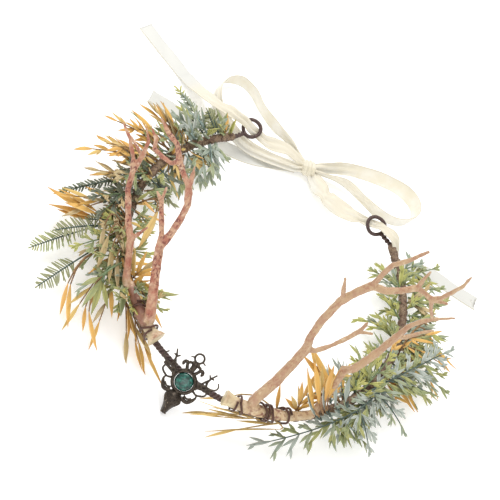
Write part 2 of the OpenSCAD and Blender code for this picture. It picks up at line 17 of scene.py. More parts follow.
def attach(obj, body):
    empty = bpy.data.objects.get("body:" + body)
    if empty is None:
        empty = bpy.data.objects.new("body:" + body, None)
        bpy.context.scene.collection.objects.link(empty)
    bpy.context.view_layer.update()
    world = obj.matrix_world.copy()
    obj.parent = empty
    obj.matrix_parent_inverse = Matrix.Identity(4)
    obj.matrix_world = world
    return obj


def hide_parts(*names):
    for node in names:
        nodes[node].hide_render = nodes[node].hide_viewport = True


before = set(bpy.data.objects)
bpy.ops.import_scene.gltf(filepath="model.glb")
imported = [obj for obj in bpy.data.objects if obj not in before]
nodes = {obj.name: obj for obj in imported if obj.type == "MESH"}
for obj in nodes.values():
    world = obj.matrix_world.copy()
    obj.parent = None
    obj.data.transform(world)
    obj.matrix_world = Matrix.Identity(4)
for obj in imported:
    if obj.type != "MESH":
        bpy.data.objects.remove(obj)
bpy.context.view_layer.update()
MM = 0.001
UP = np.array([0.0, 0.0, 1.0])
print(len(nodes), "CAD nodes")


def added(operator, name, **settings):
    """Adds one object with an operator, which leaves it alone selected, and names it."""
    operator(**settings)
    obj = bpy.context.object
    obj.name = name
    return obj


# %% [markdown]
# ## The camera
# The photograph looks down at the crown from the front, with the camera rolled, so that the pendant
# is at the lower left. A long lens is used, as for a catalogue picture, because it hardly makes near
# parts larger than far ones. The three angles turn a frame of three axes: right, up and back.

# %% Camera
CAMERA_AZIMUTH, CAMERA_HEIGHT, CAMERA_ROLL = (math.radians(a) for a in (-6.4, 45.5, 39.1))
LOOK_AT = np.array([-14.6, 4.4, 16.0])
DISTANCE, SENSOR, LENS = 1008.0, 36.0, 129.6

back = np.array([math.sin(CAMERA_AZIMUTH) * math.cos(CAMERA_HEIGHT),
                 -math.cos(CAMERA_AZIMUTH) * math.cos(CAMERA_HEIGHT), math.sin(CAMERA_HEIGHT)])
level = np.array([math.cos(CAMERA_AZIMUTH), math.sin(CAMERA_AZIMUTH), 0.0])
upright = np.cross(back, level)
right = math.cos(CAMERA_ROLL) * level + math.sin(CAMERA_ROLL) * upright
above = math.cos(CAMERA_ROLL) * upright - math.sin(CAMERA_ROLL) * level
place = (LOOK_AT + DISTANCE * back) * MM

camera = added(bpy.ops.object.camera_add, "camera", location=place)
turn = Matrix((right, above, back)).transposed().to_4x4()
camera.matrix_world = Matrix.Translation(place) @ turn
camera.data.sensor_width, camera.data.lens = SENSOR, LENS
bpy.context.scene.camera = camera
print("camera at", [round(c, 3) for c in place])

# %% [markdown]
# ## Floor and light
# The crown lies on a plain pale light table, which glows a little. The light is that of a studio
# tent: a bright even sky, one large soft lamp above and behind that models the leaves, and a weaker
# one at the front, so that shadows stay faint.

# %% Floor and lamps
FLOOR_SIZE, TABLE_GLOW, TENT_LIGHT = 6.0, 0.23, 0.86
LAMPS_AIM = Vector((0, 0, 0.03))

floor = added(bpy.ops.mesh.primitive_plane_add, "floor", size=FLOOR_SIZE)


def lamp(name, spot, size, power):
    """A square soft lamp that points at the middle of the crown."""
    made = added(bpy.ops.object.light_add, name, type="AREA", location=spot)
    made.data.size, made.data.energy = size, power
    made.rotation_euler = (LAMPS_AIM - Vector(spot)).to_track_quat("-Z", "Y").to_euler()


lamp("key_lamp", (-0.35, 0.45, 1.1), 0.7, 10.0)
lamp("fill_lamp", (0.2, -1.0, 0.7), 1.0, 5.0)
world = bpy.data.worlds.new("studio")
bpy.context.scene.world = world
world.use_nodes = True
sky = world.node_tree.nodes["Background"]
sky.inputs["Color"].default_value = (1.0, 1.0, 1.0, 1.0)
sky.inputs["Strength"].default_value = TENT_LIGHT
bpy.context.scene.view_settings.view_transform = "Standard"

# %% [markdown]
# ## Writing materials as sums
# Node materials are quicker to read as arithmetic than as boxes and wires. The class below wraps one
# output of a node, so that adding or multiplying two of them adds the Math node that does it. Every
# other node comes from one method, which first makes the settings and then the links. Colours are
# written as on the web.

# %% Flow and Finish
def paint(code, share=0.86):
    """A web colour as Blender's linear red, green, blue and 1. The tent is so bright that a piece only
    looks like its colour when its paint is a little darker."""
    parts = [int(code[i:i + 2], 16) / 255 for i in (1, 3, 5)]
    return tuple(share * (c / 12.92 if c < 0.04045 else ((c + 0.055) / 1.055) ** 2.4) for c in parts) + (1.0,)


class Flow:
    """One value, colour or vector that leaves a node of a finish."""

    def __init__(self, finish, socket):
        self.finish, self.socket = finish, socket

    def _sum(self, operation, *values):
        return self.finish.node("ShaderNodeMath", {"operation": operation}, *values)

    def __add__(self, other):
        return self._sum("ADD", self, other)

    def __sub__(self, other):
        return self._sum("SUBTRACT", self, other)

    def __rsub__(self, other):
        return self._sum("SUBTRACT", other, self)

    def __mul__(self, other):
        return self._sum("MULTIPLY", self, other)

    def __abs__(self):
        return self._sum("ABSOLUTE", self)

    __radd__, __rmul__ = __add__, __mul__


class Finish:
    """A material that is built node by node."""

    def __init__(self, name):
        self.material = bpy.data.materials.new(name)
        self.material.use_nodes = True
        self.tree = self.material.node_tree
        self.tree.nodes.clear()

    def feed(self, socket, value):
        if isinstance(value, Flow):
            self.tree.links.new(value.socket, socket)
        elif value is not None:
            socket.default_value = paint(value) if isinstance(value, str) else value

    def node(self, kind, settings, *values, out=0, **named):
        """Any node: its settings are made first, and then its sockets are fed by number or by name."""
        made = self.tree.nodes.new(kind)
        for key, value in settings.items():
            if key == "stops":
                while len(made.color_ramp.elements) < len(value):
                    made.color_ramp.elements.new(0.5)
                for stop, (at, code) in zip(made.color_ramp.elements, value):
                    stop.position, stop.color = at, paint(code)
            else:
                setattr(made, key, value)
        fed = dict(enumerate(values)) | {key.replace("_", " "): value for key, value in named.items()}
        for key, value in fed.items():
            self.feed(made.inputs[key], value)
        return Flow(self, made.outputs[out]) if made.outputs else None

    def place(self):
        return self.node("ShaderNodeTexCoord", {}, out="Object")

    def cloth(self):
        return self.node("ShaderNodeUVMap", {"uv_map": "UVMap"})

    def part(self, vector, axis):
        return self.node("ShaderNodeSeparateXYZ", {}, vector, out=axis)

    def stored(self, name):
        """A number that the mesh keeps for each of its points."""
        return self.node("ShaderNodeAttribute", {"attribute_name": name}, out="Fac")

    def noise(self, size_mm, detail=2.0, where=None, rough=0.5):
        """Cloudy pattern whose lumps are about this size."""
        return self.node("ShaderNodeTexNoise", {}, out="Fac", Vector=where or self.place(),
                         Scale=1.0 / (size_mm * MM), Detail=detail, Roughness=rough)

    def waves(self, settings, where, scale, distortion, **more):
        return self.node("ShaderNodeTexWave", settings, out="Fac", Vector=where, Scale=scale,
                         Distortion=distortion, **more)

    def ramp(self, value, *stops):
        """Colours at places from 0 to 1."""
        return self.node("ShaderNodeValToRGB", {"stops": stops}, value)

    def blend(self, share, first, second):
        """Two colours, mixed by a share. Sockets 0, 6 and 7 of a Mix node are its factor and its colours."""
        return self.node("ShaderNodeMix", {"data_type": "RGBA"}, share, *[None] * 5, first, second, out=2)

    def band_of(self, value, low, high):
        """0 below low, 1 above high and smooth between them."""
        return self.node("ShaderNodeMapRange", {"interpolation_type": "SMOOTHSTEP"}, value, low, high, 0.0, 1.0)

    def bump(self, height, depth_mm, strength=1.0):
        return self.node("ShaderNodeBump", {}, Height=height, Distance=depth_mm * MM, Strength=strength)

    def shade(self, colour, rough, normal=None, **fixed):
        """Ends the finish with its shader."""
        surface = self.node("ShaderNodeBsdfPrincipled", {}, Base_Color=colour, Roughness=rough,
                            Normal=normal, **fixed)
        self.node("ShaderNodeOutputMaterial", {}, surface)
        return self.material


f = Finish("pale_table")
floor.data.materials.append(f.shade(paint("#F9F9F8", 1.0), 0.9, Emission_Color=paint("#FFFFFF", 1.0),
                                    Emission_Strength=TABLE_GLOW))

# %% [markdown]
# ## Small tools
# Operators act on whatever is selected, so each step first selects one object alone. A strip or a
# tube is made from a flat grid whose points are laid along a path, as one would wrap tape. A wire is
# a curve with a round bevel, and it is turned into a mesh at the end.

# %% Selecting, laying and wiring
def only(obj):
    bpy.ops.object.select_all(action="DESELECT")
    obj.select_set(True)
    bpy.context.view_layer.objects.active = obj


def apply_all(obj):
    only(obj)
    for modifier in list(obj.modifiers):
        bpy.ops.object.modifier_apply(modifier=modifier.name)


def weld(gap, fill=False, orient=True):
    """Merges points of the active object that lie closer than gap, in metres."""
    bpy.ops.object.mode_set(mode="EDIT")
    bpy.ops.mesh.select_all(action="SELECT")
    bpy.ops.mesh.remove_doubles(threshold=gap)
    if fill:
        bpy.ops.mesh.fill_holes(sides=0)
    if orient:
        bpy.ops.mesh.normals_make_consistent(inside=False)
    bpy.ops.object.mode_set(mode="OBJECT")


def remeshed(obj, cell, rounds):
    """Gives a piece one skin of cells of this size, in millimetres, and smooths it."""
    cells = obj.modifiers.new("cells", "REMESH")
    cells.mode, cells.voxel_size = "VOXEL", cell * MM
    soft = obj.modifiers.new("soft", "SMOOTH")
    soft.factor, soft.iterations = 0.5, rounds


def unit(v):
    return v / np.linalg.norm(v)


def laid(name, rows, closed=False):
    """A grid whose points are laid at rows[i][k], in millimetres. A closed one is a tube with ends."""
    steps, sides = len(rows) - 1, len(rows[0]) - 1
    obj = added(bpy.ops.mesh.primitive_grid_add, name, x_subdivisions=steps, y_subdivisions=sides, size=1.0)
    for vert in obj.data.vertices:
        i, k = round((vert.co.x + 0.5) * steps), round((vert.co.y + 0.5) * sides)
        vert.co = rows[i][k] * MM
    if closed:
        weld(1e-6, fill=True)
    bpy.ops.object.shade_smooth()
    return obj


def wires(name, runs, resolution):
    """Round wires through lists of (place, radius) in millimetres, as one mesh."""
    curve = added(bpy.ops.curve.primitive_nurbs_path_add, name).data
    curve.splines.clear()
    curve.bevel_depth, curve.bevel_resolution, curve.use_fill_caps = 1.0, resolution, True
    for run in runs:
        spline = curve.splines.new("POLY")
        spline.points.add(len(run) - 1)
        for point, (at, radius) in zip(spline.points, run):
            point.co = (*(np.asarray(at) * MM), 1.0)
            point.radius = radius * MM
    bpy.ops.object.convert(target="MESH")
    weld(1e-7)
    bpy.ops.object.shade_smooth()
    return bpy.context.object


def joined(name, *objs):
    only(objs[0])
    for obj in objs:
        obj.select_set(True)
    bpy.ops.object.join()
    objs[0].name = name
    return objs[0]


def done(obj, slot, *replaced, materials=()):
    """The piece gets its finish, and the CAD nodes that it stands for are hidden. Its slot is not used."""
    for material in materials:
        obj.data.materials.append(material)
    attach(obj, "root")
    if replaced:
        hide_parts(*replaced)
    print(obj.name, len(obj.data.polygons), "faces")


# %% [markdown]
# Long tables are written as text: a comma or the end of a line ends a row, and blanks part its words
# and numbers. Round cross-sections all come from one formula.

# %% Reading tables
def rows_of(text):
    def read(word):
        return word if word[0].isalpha() else int(word) if word.lstrip("-").isdigit() else float(word)
    return [tuple(map(read, row.split())) for row in text.replace("\n", ",").split(",") if row.strip()]


def spin(angle, first, second):
    """The direction at an angle from the first of two axes towards the second."""
    return math.cos(angle) * first + math.sin(angle) * second


def around(count):
    """The angles of one turn in equal steps, with the first one again at the end."""
    return [2 * math.pi * (k % count) / count for k in range(count + 1)]


def sideways(d):
    """The level direction to the left of direction d."""
    return unit(np.cross(UP, d))


# %% [markdown]
# ## The oval's own line
# The oval is four arcs. Everything that sits on it is placed by its angle from the front, so the
# same few formulas as in the CAD source give the middle of the wire and the directions outwards and
# along it.

# %% Oval
HALF_WIDTH, HALF_LENGTH, BAND_RISE = 85.0, 98.0, 16.0
TAPE_R, WIRE_R, GAP, BAND_END = 2.5, 1.8, 0.3, 133.0
BARE_FROM, BARE_TO = -29.5, 12.0
END_C = 22.0
END_R = HALF_LENGTH - END_C
OVAL_K = HALF_WIDTH - END_R
SIDE_C = (END_C ** 2 - OVAL_K ** 2) / (2 * OVAL_K)
SIDE_R = HALF_WIDTH + SIDE_C
JOIN = 90 - math.degrees(math.atan2(END_C, SIDE_C))


def outward(t):
    return np.array([math.sin(math.radians(t)), -math.cos(math.radians(t)), 0.0])


def along(t):
    return np.array([math.cos(math.radians(t)), math.sin(math.radians(t)), 0.0])


def band_at(t):
    if abs(t) < JOIN:
        middle, radius = np.array([0, -END_C, 0.0]), END_R
    elif abs(t) < 180 - JOIN:
        middle, radius = np.array([-math.copysign(SIDE_C, t), 0, 0.0]), SIDE_R
    else:
        middle, radius = np.array([0, END_C, 0.0]), END_R
    return middle + radius * outward(t) + BAND_RISE * UP


print("front of the oval", band_at(0).round(1))

# %% [markdown]
# ## Taped band and bare wire
# Florist's tape is wound slantwise round wire and stems, so the real band has overlapping turns,
# knots and pinched places. A smooth tube would look like a hose. The tube is laid as a grid, and
# each of its points is moved out or in by the winding and by slow lumps. Behind the pendant three
# bare wires twist round each other.

# %% Tape
TAPE_PITCH, TAPE_SIDES, TAPE_STEPS = 5.2, 18, 3.2  # millimetres a turn, sides, rings a degree
LUMPS = [(0.61, 1.3, 0.22), (1.37, 4.0, 0.16), (2.9, 0.4, 0.12), (0.23, 2.1, 0.25)]  # rate, phase, size
STRAND_R, STRAND_REACH, STRAND_PITCH, STRAND_STEPS = 0.95, 0.85, 7.0, 4


def tape_radius(run, angle, ends):
    """Radius of the wound tape so far along it, in millimetres."""
    turns = run / TAPE_PITCH - angle / (2 * math.pi)
    edge = turns - math.floor(turns)
    lump = sum(size * math.sin(rate * run + phase + 2 * math.sin(angle + phase)) for rate, phase, size in LUMPS)
    return (TAPE_R - 0.15 + 0.35 * edge + 0.6 * lump) * (1 - 0.35 * ends)


def tape(name, start, stop):
    steps = int(abs(stop - start) * TAPE_STEPS)
    rows, run, last = [], 0.0, None
    for i in range(steps + 1):
        t = start + (stop - start) * i / steps
        middle = band_at(t)
        run += 0 if last is None else np.linalg.norm(middle - last)
        last = middle
        ends = max(0.0, 1 - i / 4) ** 2 + max(0.0, 1 - (steps - i) / 4) ** 2
        rows.append([middle + tape_radius(run, a, ends) * spin(a, outward(t), UP) for a in around(TAPE_SIDES)])
    return laid(name, rows, closed=True)


def strand(start, stop, phase):
    """One wire that winds round the oval's line."""
    steps = int(abs(stop - start) * STRAND_STEPS)
    turns = [start + (stop - start) * i / steps for i in range(steps + 1)]
    return [(band_at(t) + STRAND_REACH * spin(phase + 2 * math.pi * math.radians(t) * END_R / STRAND_PITCH,
                                              outward(t), UP), STRAND_R) for t in turns]


f = Finish("florist_tape")
wound = f.waves({"bands_direction": "DIAGONAL"}, f.place(), 150.0, 9.0, Detail=3.0)
grain = f.noise(0.6, 5.0)
worn = f.band_of(f.noise(2.4, 4.0) + 0.25 * grain, 0.5, 0.75)
brown = f.ramp(grain, (0.3, "#38261D"), (0.5, "#5E4431"), (0.72, "#8A6C50"))
brown = f.blend(worn * 0.6, brown, "#A38A6C")
brown = f.blend(f.band_of(f.noise(6.0, 2.0), 0.5, 0.65) * 0.35, brown, "#5B382E")
TAPE = f.shade(brown, 0.6 - 0.2 * worn, f.bump(0.5 * wound + grain, 0.6, 0.9))

f = Finish("bare_wire")
WIRE = f.shade(f.ramp(f.noise(1.1, 4.0), (0.3, "#33241F"), (0.7, "#5E4640")), 0.45,
               f.bump(f.noise(0.35, 3.0), 0.12, 0.6), Metallic=0.2)

tapes = joined("band_tape", tape("tape_left", BARE_FROM, -BAND_END), tape("tape_right", BARE_TO, BAND_END))
bare = wires("band_wire", [strand(BARE_FROM - 1, BARE_TO + 1, phase)
                           for phase in (0.0, 2 * math.pi / 3, 4 * math.pi / 3)], 3)
done(tapes, "tape", "band", materials=[TAPE])
done(bare, "wire", "band", materials=[WIRE])

# %% [markdown]
# ## Eyes
# The band ends in two small wire rings for the ribbon. Each is wound as a wire that goes a little
# more than once round, tilted to the front, and its neck is two wires that twist out of the tape.

# %% Eyes
EYE_R, EYE_TILT, EYE_STEPS, EYE_WIRE = 5.4, math.radians(25), 60, 1.1
NECK_STEPS, NECK_WIRE, NECK_TURN = 20, 0.75, 0.55


def eye(name, x, y, t):
    centre = np.array([x, y, BAND_RISE])
    side = np.array([1.0, 0, 0])
    tilted = np.array([0.0, math.cos(EYE_TILT), math.sin(EYE_TILT)])
    face = np.cross(side, tilted)
    end = band_at(t)
    away = end - centre
    start = math.atan2(away @ tilted, away @ side)
    ring = []
    for i in range(EYE_STEPS + 13):
        angle = start + 2 * math.pi * i / EYE_STEPS
        rise = 0.35 * (i / EYE_STEPS - 0.6) * face
        radius = EYE_R + 0.15 * math.sin(3 * angle)
        ring.append((centre + radius * spin(angle, side, tilted) + rise, EYE_WIRE))
    gap = ring[0][0] - end
    flank = unit(np.cross(unit(gap), UP))
    necks = [[(end + gap * i / NECK_STEPS + NECK_WIRE * spin(phase + i * NECK_TURN, flank, UP), NECK_WIRE)
              for i in range(NECK_STEPS + 1)] for phase in (0.0, math.pi)]
    return wires(name, [ring] + necks, 3)


done(eye("eye_ring_left", -50.0, 88.0, -BAND_END), "wire", "eye_left", materials=[WIRE])
done(eye("eye_ring_right", 43.0, 80.0, BAND_END), "wire", "eye_right", materials=[WIRE])

# %% [markdown]
# ## Antlers
# Each antler is a resin cast: rounded, with soft facets and small dents, never a perfect tube. The
# CAD solid has the right branches but flat faces, so a copy of it is welded, remeshed in half
# millimetre cells and smoothed, and then pushed in and out a little by a cloud texture.
#
# The resin is blushed and speckled. Along the band it is paler, where the wire binds it it is
# stained, and its flared end is cream. So every point keeps how near it lies to those stretches.

# %% Antler casts
CAST_CELL, CAST_ROUNDS, DENT_DEPTH, DENT_SIZE = 0.5, 9, 0.9, 4.0


def cast(name, node):
    only(nodes[node])
    bpy.ops.object.duplicate()
    obj = bpy.context.object
    obj.name = name
    for key in [key for key in obj.keys() if key.startswith("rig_")]:
        del obj[key]
    obj.parent = None
    obj.matrix_world = Matrix.Identity(4)
    obj.data.materials.clear()
    weld(1e-6, orient=False)
    remeshed(obj, CAST_CELL, CAST_ROUNDS)
    clouds = bpy.data.textures.new(name + "_dents", "CLOUDS")
    clouds.noise_scale = DENT_SIZE * MM
    dent = obj.modifiers.new("dents", "DISPLACE")
    dent.texture, dent.strength, dent.mid_level = clouds, DENT_DEPTH * MM, 0.5
    apply_all(obj)
    bpy.ops.object.shade_smooth()
    return obj


def near_line(obj, name, start, stop, low, high):
    """Stores how near each point lies to the band from start to stop: 1 within low, 0 beyond high."""
    line = np.array([band_at(t) for t in np.arange(start, stop, 0.5)])
    points = np.array([v.co for v in obj.data.vertices]) / MM
    reach = np.array([np.linalg.norm(line - p, axis=1).min() for p in points])
    share = np.clip((high - reach) / (high - low), 0, 1)
    obj.data.attributes.new(name, "FLOAT", "POINT").data.foreach_set("value", share.astype(np.float32))


def resin(name, body, blush, speck, pale, amount, stain):
    f = Finish(name)
    stretched = f.node("ShaderNodeVectorMath", {"operation": "MULTIPLY"}, f.place(), (1.0, 1.0, 0.4))
    patch = f.band_of(f.noise(11.0, 3.0), 0.42, 0.6)
    speckle = f.band_of(f.noise(1.1, 4.0, stretched, 0.65), 0.47, 0.6)
    fine = f.noise(0.5, 3.0)
    hammered = f.noise(2.4, 3.0, stretched)
    near, stained, flare = (f.stored(name) for name in ("near_band", "near_binding", "near_flare"))
    tone = f.blend(f.band_of(f.noise(5.0, 3.0), 0.38, 0.65), body, blush)
    tone = f.blend(speckle * (0.25 + 0.75 * patch) * amount, tone, speck)
    tone = f.blend(f.band_of(hammered, 0.55, 0.75) * 0.5, tone, pale)
    tone = f.blend(f.band_of(fine, 0.6, 0.78) * 0.3, tone, pale)
    tone = f.blend(near * 0.75, tone, f.blend(f.band_of(f.noise(3.0, 3.0), 0.4, 0.65), "#CDB188", pale))
    dark = f.band_of(f.noise(2.2, 4.0) + stain * stained, 0.52, 0.68) * near
    tone = f.blend(dark * (0.6 + 0.3 * stained), tone, "#84503E")
    tone = f.blend(flare * (0.85 - 0.3 * hammered), tone, "#E0D2AA")
    return f.shade(tone, 0.45, f.bump(hammered + 0.3 * fine, 0.7, 0.8))


RESIN_PINK = resin("resin_pink", "#CBA282", "#AC6B53", "#6A2420", "#EBD2B8", 0.95, 0.3)
RESIN_PEACH = resin("resin_peach", "#BC9C78", "#B28C6E", "#96583F", "#DDC8A4", 0.55, 0.05)
for side, slot, finish, stained, flare in (
        ("left", "antler_pink", RESIN_PINK, (-44, -36), (-26.5, -24)),
        ("right", "antler_peach", RESIN_PEACH, (24, 30), (7, 9.5))):
    antler = cast(f"antler_cast_{side}", f"antler_{side}")
    near_line(antler, "near_band", -60, 60, 9.0, 13.0)
    near_line(antler, "near_binding", *stained, 9.0, 12.0)
    near_line(antler, "near_flare", *flare, 9.0, 11.5)
    done(antler, slot, f"antler_{side}", materials=[finish])

# %% [markdown]
# ## Binding wires
# Thin brown wire ties the foot of each antler to the band. It runs round both in a slack helix: over
# the foot above, and under the tape below. One table gives the foot's radius along the band, and
# another the place on the band of each turn.

# %% Bindings
FOOT_R, FOOT_SLANT = 3.5, math.radians(65)
BINDING_R, BINDING_CLEAR, BINDING_STEPS = 0.62, 0.8, 40
BINDINGS = {
    "left": ("0 -29, 1 -30, 2 -40.4, 3 -41.6",
             "-25.5 6, -27 4.7, -28.5 3.3, -34 3.4, -38 3.3, -42 3.1, -46 2.9, -50 2.6"),
    "right": ("0 13.4, 1 14.6, 2 25.4, 3 26.6, 4 27.8, 5 35, 6 36.2",
              "8.5 5, 10 4.1, 11.5 3.4, 17 3.5, 22 3.5, 26 3.4, 30 3.3, 34 3.1, 38 2.9, 42 2.7, 47 2.5"),
}


def looked_up(value, table):
    return float(np.interp(value, *zip(*sorted(table))))


def binding_at(turns, foot, n):
    t = looked_up(n, turns)
    slant = math.cos(FOOT_SLANT) * outward(t) + math.sin(FOOT_SLANT) * UP
    radius, clear = looked_up(t, foot), GAP + BINDING_CLEAR
    angle = 2 * math.pi * n
    reach = spin(angle, slant, np.cross(along(t), slant))
    high = band_at(t) + (TAPE_R + GAP + min(radius, FOOT_R)) * slant + (radius + clear) * reach
    low = band_at(t) + (TAPE_R + clear) * reach
    share = 0.5 + 0.5 * math.tanh(6 * math.cos(angle))
    return share * high + (1 - share) * low


f = Finish("binding_wire")
BINDING = f.shade(f.ramp(f.noise(0.9, 3.0), (0.3, "#3B231C"), (0.75, "#6B4738")), 0.38,
                  f.bump(f.noise(0.3, 2.0), 0.06, 0.5), Metallic=0.35)
for side, tables in BINDINGS.items():
    turns, foot = map(rows_of, tables)
    steps = turns[-1][0] * BINDING_STEPS
    run = [(binding_at(turns, foot, i / BINDING_STEPS), BINDING_R) for i in range(steps + 1)]
    done(wires(f"binding_wire_{side}", [run], 2), "binding", f"binding_{side}", materials=[BINDING])

# %% [markdown]
# ## Leaves
# A sprig is a plastic stem with moulded leaves. One leaf is modelled once from a grid: it narrows to
# a point, it is given a thickness and its midrib is pressed down. Each copy is then curled, twisted
# and sized on its own, because equal leaves in one plane look printed. The leaf keeps a UV map (along
# and across), and every copy gets a random tint, so the finish can darken the tips and vary leaves.

# %% Leaf blanks
POINTED = [(0.0, 0.14), (0.12, 0.45), (0.3, 0.85), (0.46, 1.0), (0.64, 0.82), (0.82, 0.44), (1.0, 0.03)]
ROUNDED = [(0.0, 0.3), (0.22, 0.55), (0.48, 0.92), (0.68, 1.0), (0.86, 0.6), (1.0, 0.08)]
NARROW = [(0.0, 0.6), (0.35, 1.0), (0.8, 0.9), (1.0, 0.3)]


def leaf_blank(name, outline, groove):
    """A leaf of length 1, width 1 and thickness 1: its points, its faces and which of them are its rim."""
    steps = len(outline) - 1
    obj = added(bpy.ops.mesh.primitive_grid_add, name, x_subdivisions=steps, y_subdivisions=2, size=1.0)
    for vert in obj.data.vertices:
        at, width = outline[round((vert.co.x + 0.5) * steps)]
        vert.co = (at, round(vert.co.y * 2) * width / 2, 0.0)
    thick = obj.modifiers.new("thickness", "SOLIDIFY")
    thick.thickness, thick.offset = 1.0, 0.0
    apply_all(obj)
    points = np.array([v.co for v in obj.data.vertices])
    faces = [list(p.vertices) for p in obj.data.polygons]
    rim = [abs(p.normal.z) < 0.5 for p in obj.data.polygons]
    widths = np.interp(points[:, 0], *zip(*outline))
    points[:, 2] -= groove * widths * (np.abs(points[:, 1]) < 0.1 * widths)
    bpy.data.objects.remove(obj)
    print(name, len(points), "points", sum(rim), "faces on the rim")
    return points, faces, rim


BROAD = leaf_blank("pointed_leaf", POINTED, 1.1)
LOBE = leaf_blank("rounded_leaf", ROUNDED, 0.9)
NEEDLE = leaf_blank("needle_leaf", NARROW, 0.3)

# %% [markdown]
# A helper collects leaves and turns them into one mesh per sprig. A curl bends the leaf up or down
# along its length, a twist turns it about its rib, and no point goes below the table.

# %% Collecting leaves
class Foliage:
    """Leaves of one sprig, collected before they become a mesh. Each leaf has one of three tones."""

    def __init__(self, seed):
        self.points, self.faces, self.uv, self.tint = [], [], [], []
        self.tones, self.flat = [], []
        self.tone = 0
        self.dice = random.Random(seed)

    def leaf(self, blank, foot, d, side, length, width, curl=0.0, twist=0.0, cup=0.0, thick=0.35):
        points, faces, rim = blank
        self.tones += [self.tone] * len(faces)
        self.flat += rim
        u, v, w = points.T
        bend = np.where(abs(curl) < 1e-3, 1e-3, curl)
        x = length * np.sin(bend * u) / bend
        z = length * (1 - np.cos(bend * u)) / bend + cup * width * (4 * v * v)
        turn = twist * u
        y = width * v * np.cos(turn)
        z = z + width * v * np.sin(turn) + thick * w * np.cos(turn)
        placed = foot + np.outer(x, d) + np.outer(y, side) + np.outer(z, np.cross(d, side))
        placed[:, 2] = np.maximum(placed[:, 2], 0.25 + 0.15 * w)
        start = sum(len(p) for p in self.points)
        self.points.append(placed)
        self.faces += [[start + i for i in face] for face in faces]
        self.uv.append(np.stack([u, v + 0.5], 1))
        self.tint.append(np.full(len(points), self.dice.random()))

    def pick_tone(self):
        """Most leaves are dyed in the sprig's own tone, and some in its second or third."""
        throw = self.dice.random()
        self.tone = 0 if throw < 0.62 else 1 if throw < 0.86 else 2

    def forked(self, blank, foot, d, side, length, width, lobes, curl, twist):
        """A leaf with side lobes, as on wormwood or holm oak."""
        self.leaf(blank, foot, d, side, length, width, curl, twist)
        normal = np.cross(d, side)
        for i in range(lobes):
            at = 0.2 + 0.42 * i / max(lobes - 1, 1)
            hand = 1 if i % 2 else -1
            angle = math.radians(hand * self.dice.uniform(22, 38))
            start = foot + at * length * (d + 0.5 * curl * at * normal)
            new_d = unit(spin(angle, d, side) + 0.6 * curl * at * normal)
            new_side = unit(side - (side @ new_d) * new_d)
            self.leaf(blank, start, new_d, new_side, length * self.dice.uniform(0.5, 0.68) * (1.1 - 0.5 * at),
                      width * 0.85, curl * 0.8, twist)

    def mesh(self, name):
        data = bpy.data.meshes.new(name)
        data.from_pydata(np.concatenate(self.points) * MM, [], self.faces)
        layer = data.uv_layers.new(name="UVMap")
        corner = np.zeros(len(data.loops), dtype=np.int32)
        data.loops.foreach_get("vertex_index", corner)
        layer.data.foreach_set("uv", np.concatenate(self.uv)[corner].ravel().astype(np.float32))
        tint = np.concatenate(self.tint).astype(np.float32)
        data.attributes.new("tint", "FLOAT", "POINT").data.foreach_set("value", tint)
        data.polygons.foreach_set("use_smooth", [not flat for flat in self.flat])
        data.polygons.foreach_set("material_index", self.tones)
        obj = bpy.data.objects.new(name, data)
        bpy.context.scene.collection.objects.link(obj)
        return obj


# %% [markdown]
# ## Leaf finishes
# Moulded leaves are dyed in one colour and then brushed: ochre ones are browner at the tip, green
# ones have a paler, yellower rim, and silver ones a chalky bloom. The finish reads the leaf's own UV
# map for tip, rib and rim, its random tint for the spread between leaves, and object coordinates for
# small blotches.

# %% Leaf finishes
def leaf_finish(name, foot, body, tip, rim, spread):
    """Colours at the foot, in the middle, at the tip and on the rim, and the one that some leaves lean to."""
    f = Finish("leaf_" + name)
    u, v = f.part(f.cloth(), "X"), f.part(f.cloth(), "Y")
    off = abs(v - 0.5) * 2.0
    blotch, fine = f.noise(2.5, 3.0), f.noise(0.5, 2.0)
    reach = u + 0.5 * (blotch - 0.5)
    tone = f.blend(f.band_of(reach, 0.0, 0.5), foot, body)
    tone = f.blend(f.band_of(reach, 0.65, 1.05), tone, tip)
    tone = f.blend(f.band_of(f.stored("tint") + 0.4 * (blotch - 0.5), 0.4, 0.9) * 0.8, tone, spread)
    tone = f.blend(f.band_of(off, 0.5, 0.95) * 0.65, tone, rim)
    tone = f.blend((1 - f.band_of(off, 0.05, 0.4)) * 0.5, tone, foot)
    tone = f.blend(f.band_of(fine, 0.5, 0.75) * 0.2, tone, rim)
    return f.shade(tone, 0.6 - 0.12 * blotch, f.bump(0.5 * fine + 0.5 * off, 0.2, 0.6))


def stem_finish(name, low, high):
    f = Finish("stem_" + name)
    return f.shade(f.ramp(f.noise(1.8, 3.0), (0.3, low), (0.7, high)), 0.6, f.bump(f.noise(0.4, 2.0), 0.1, 0.6))


LEAF = {name: leaf_finish(name, *codes.split()) for name, codes in {
    "ochre": "#CB9C50 #E8B75C #D99B50 #F6D898 #E0A85A", "green": "#6E7648 #929C6C #AAB184 #CCCC96 #B2AE66",
    "lime": "#8D8E4C #B9B865 #D2BE6E #D6D394 #A5A95C", "fern": "#6A6C48 #8D9068 #A8AB86 #C0C1A0 #85874E",
    "heather": "#4C5444 #747E6A #8F9783 #A9AF9B #5F6852", "blue": "#75806C #9CA898 #B6BA9C #D2D5C0 #A0A672",
    "silver": "#8C958A #B4BBB2 #CACEC2 #DFE1D4 #9CA699", "straw": "#BC9A5E #E0C07C #D2AC64 #F0DAA6 #E6C26C",
    "tan": "#A08E66 #C6B084 #B29462 #DECFA6 #CFB276", "dark": "#41453A #5C6352 #788068 #949B82 #6C6E50",
}.items()}
STEM = {name: stem_finish(name, *codes.split()) for name, codes in {
    "brown": "#6B4B2F #A27C4C", "green": "#54684A #84966A", "dark": "#39463C #566A60",
    "grey": "#7F948C #A9BAB4", "straw": "#A5834E #D2B67C"}.items()}
print(len(LEAF), "leaf finishes")

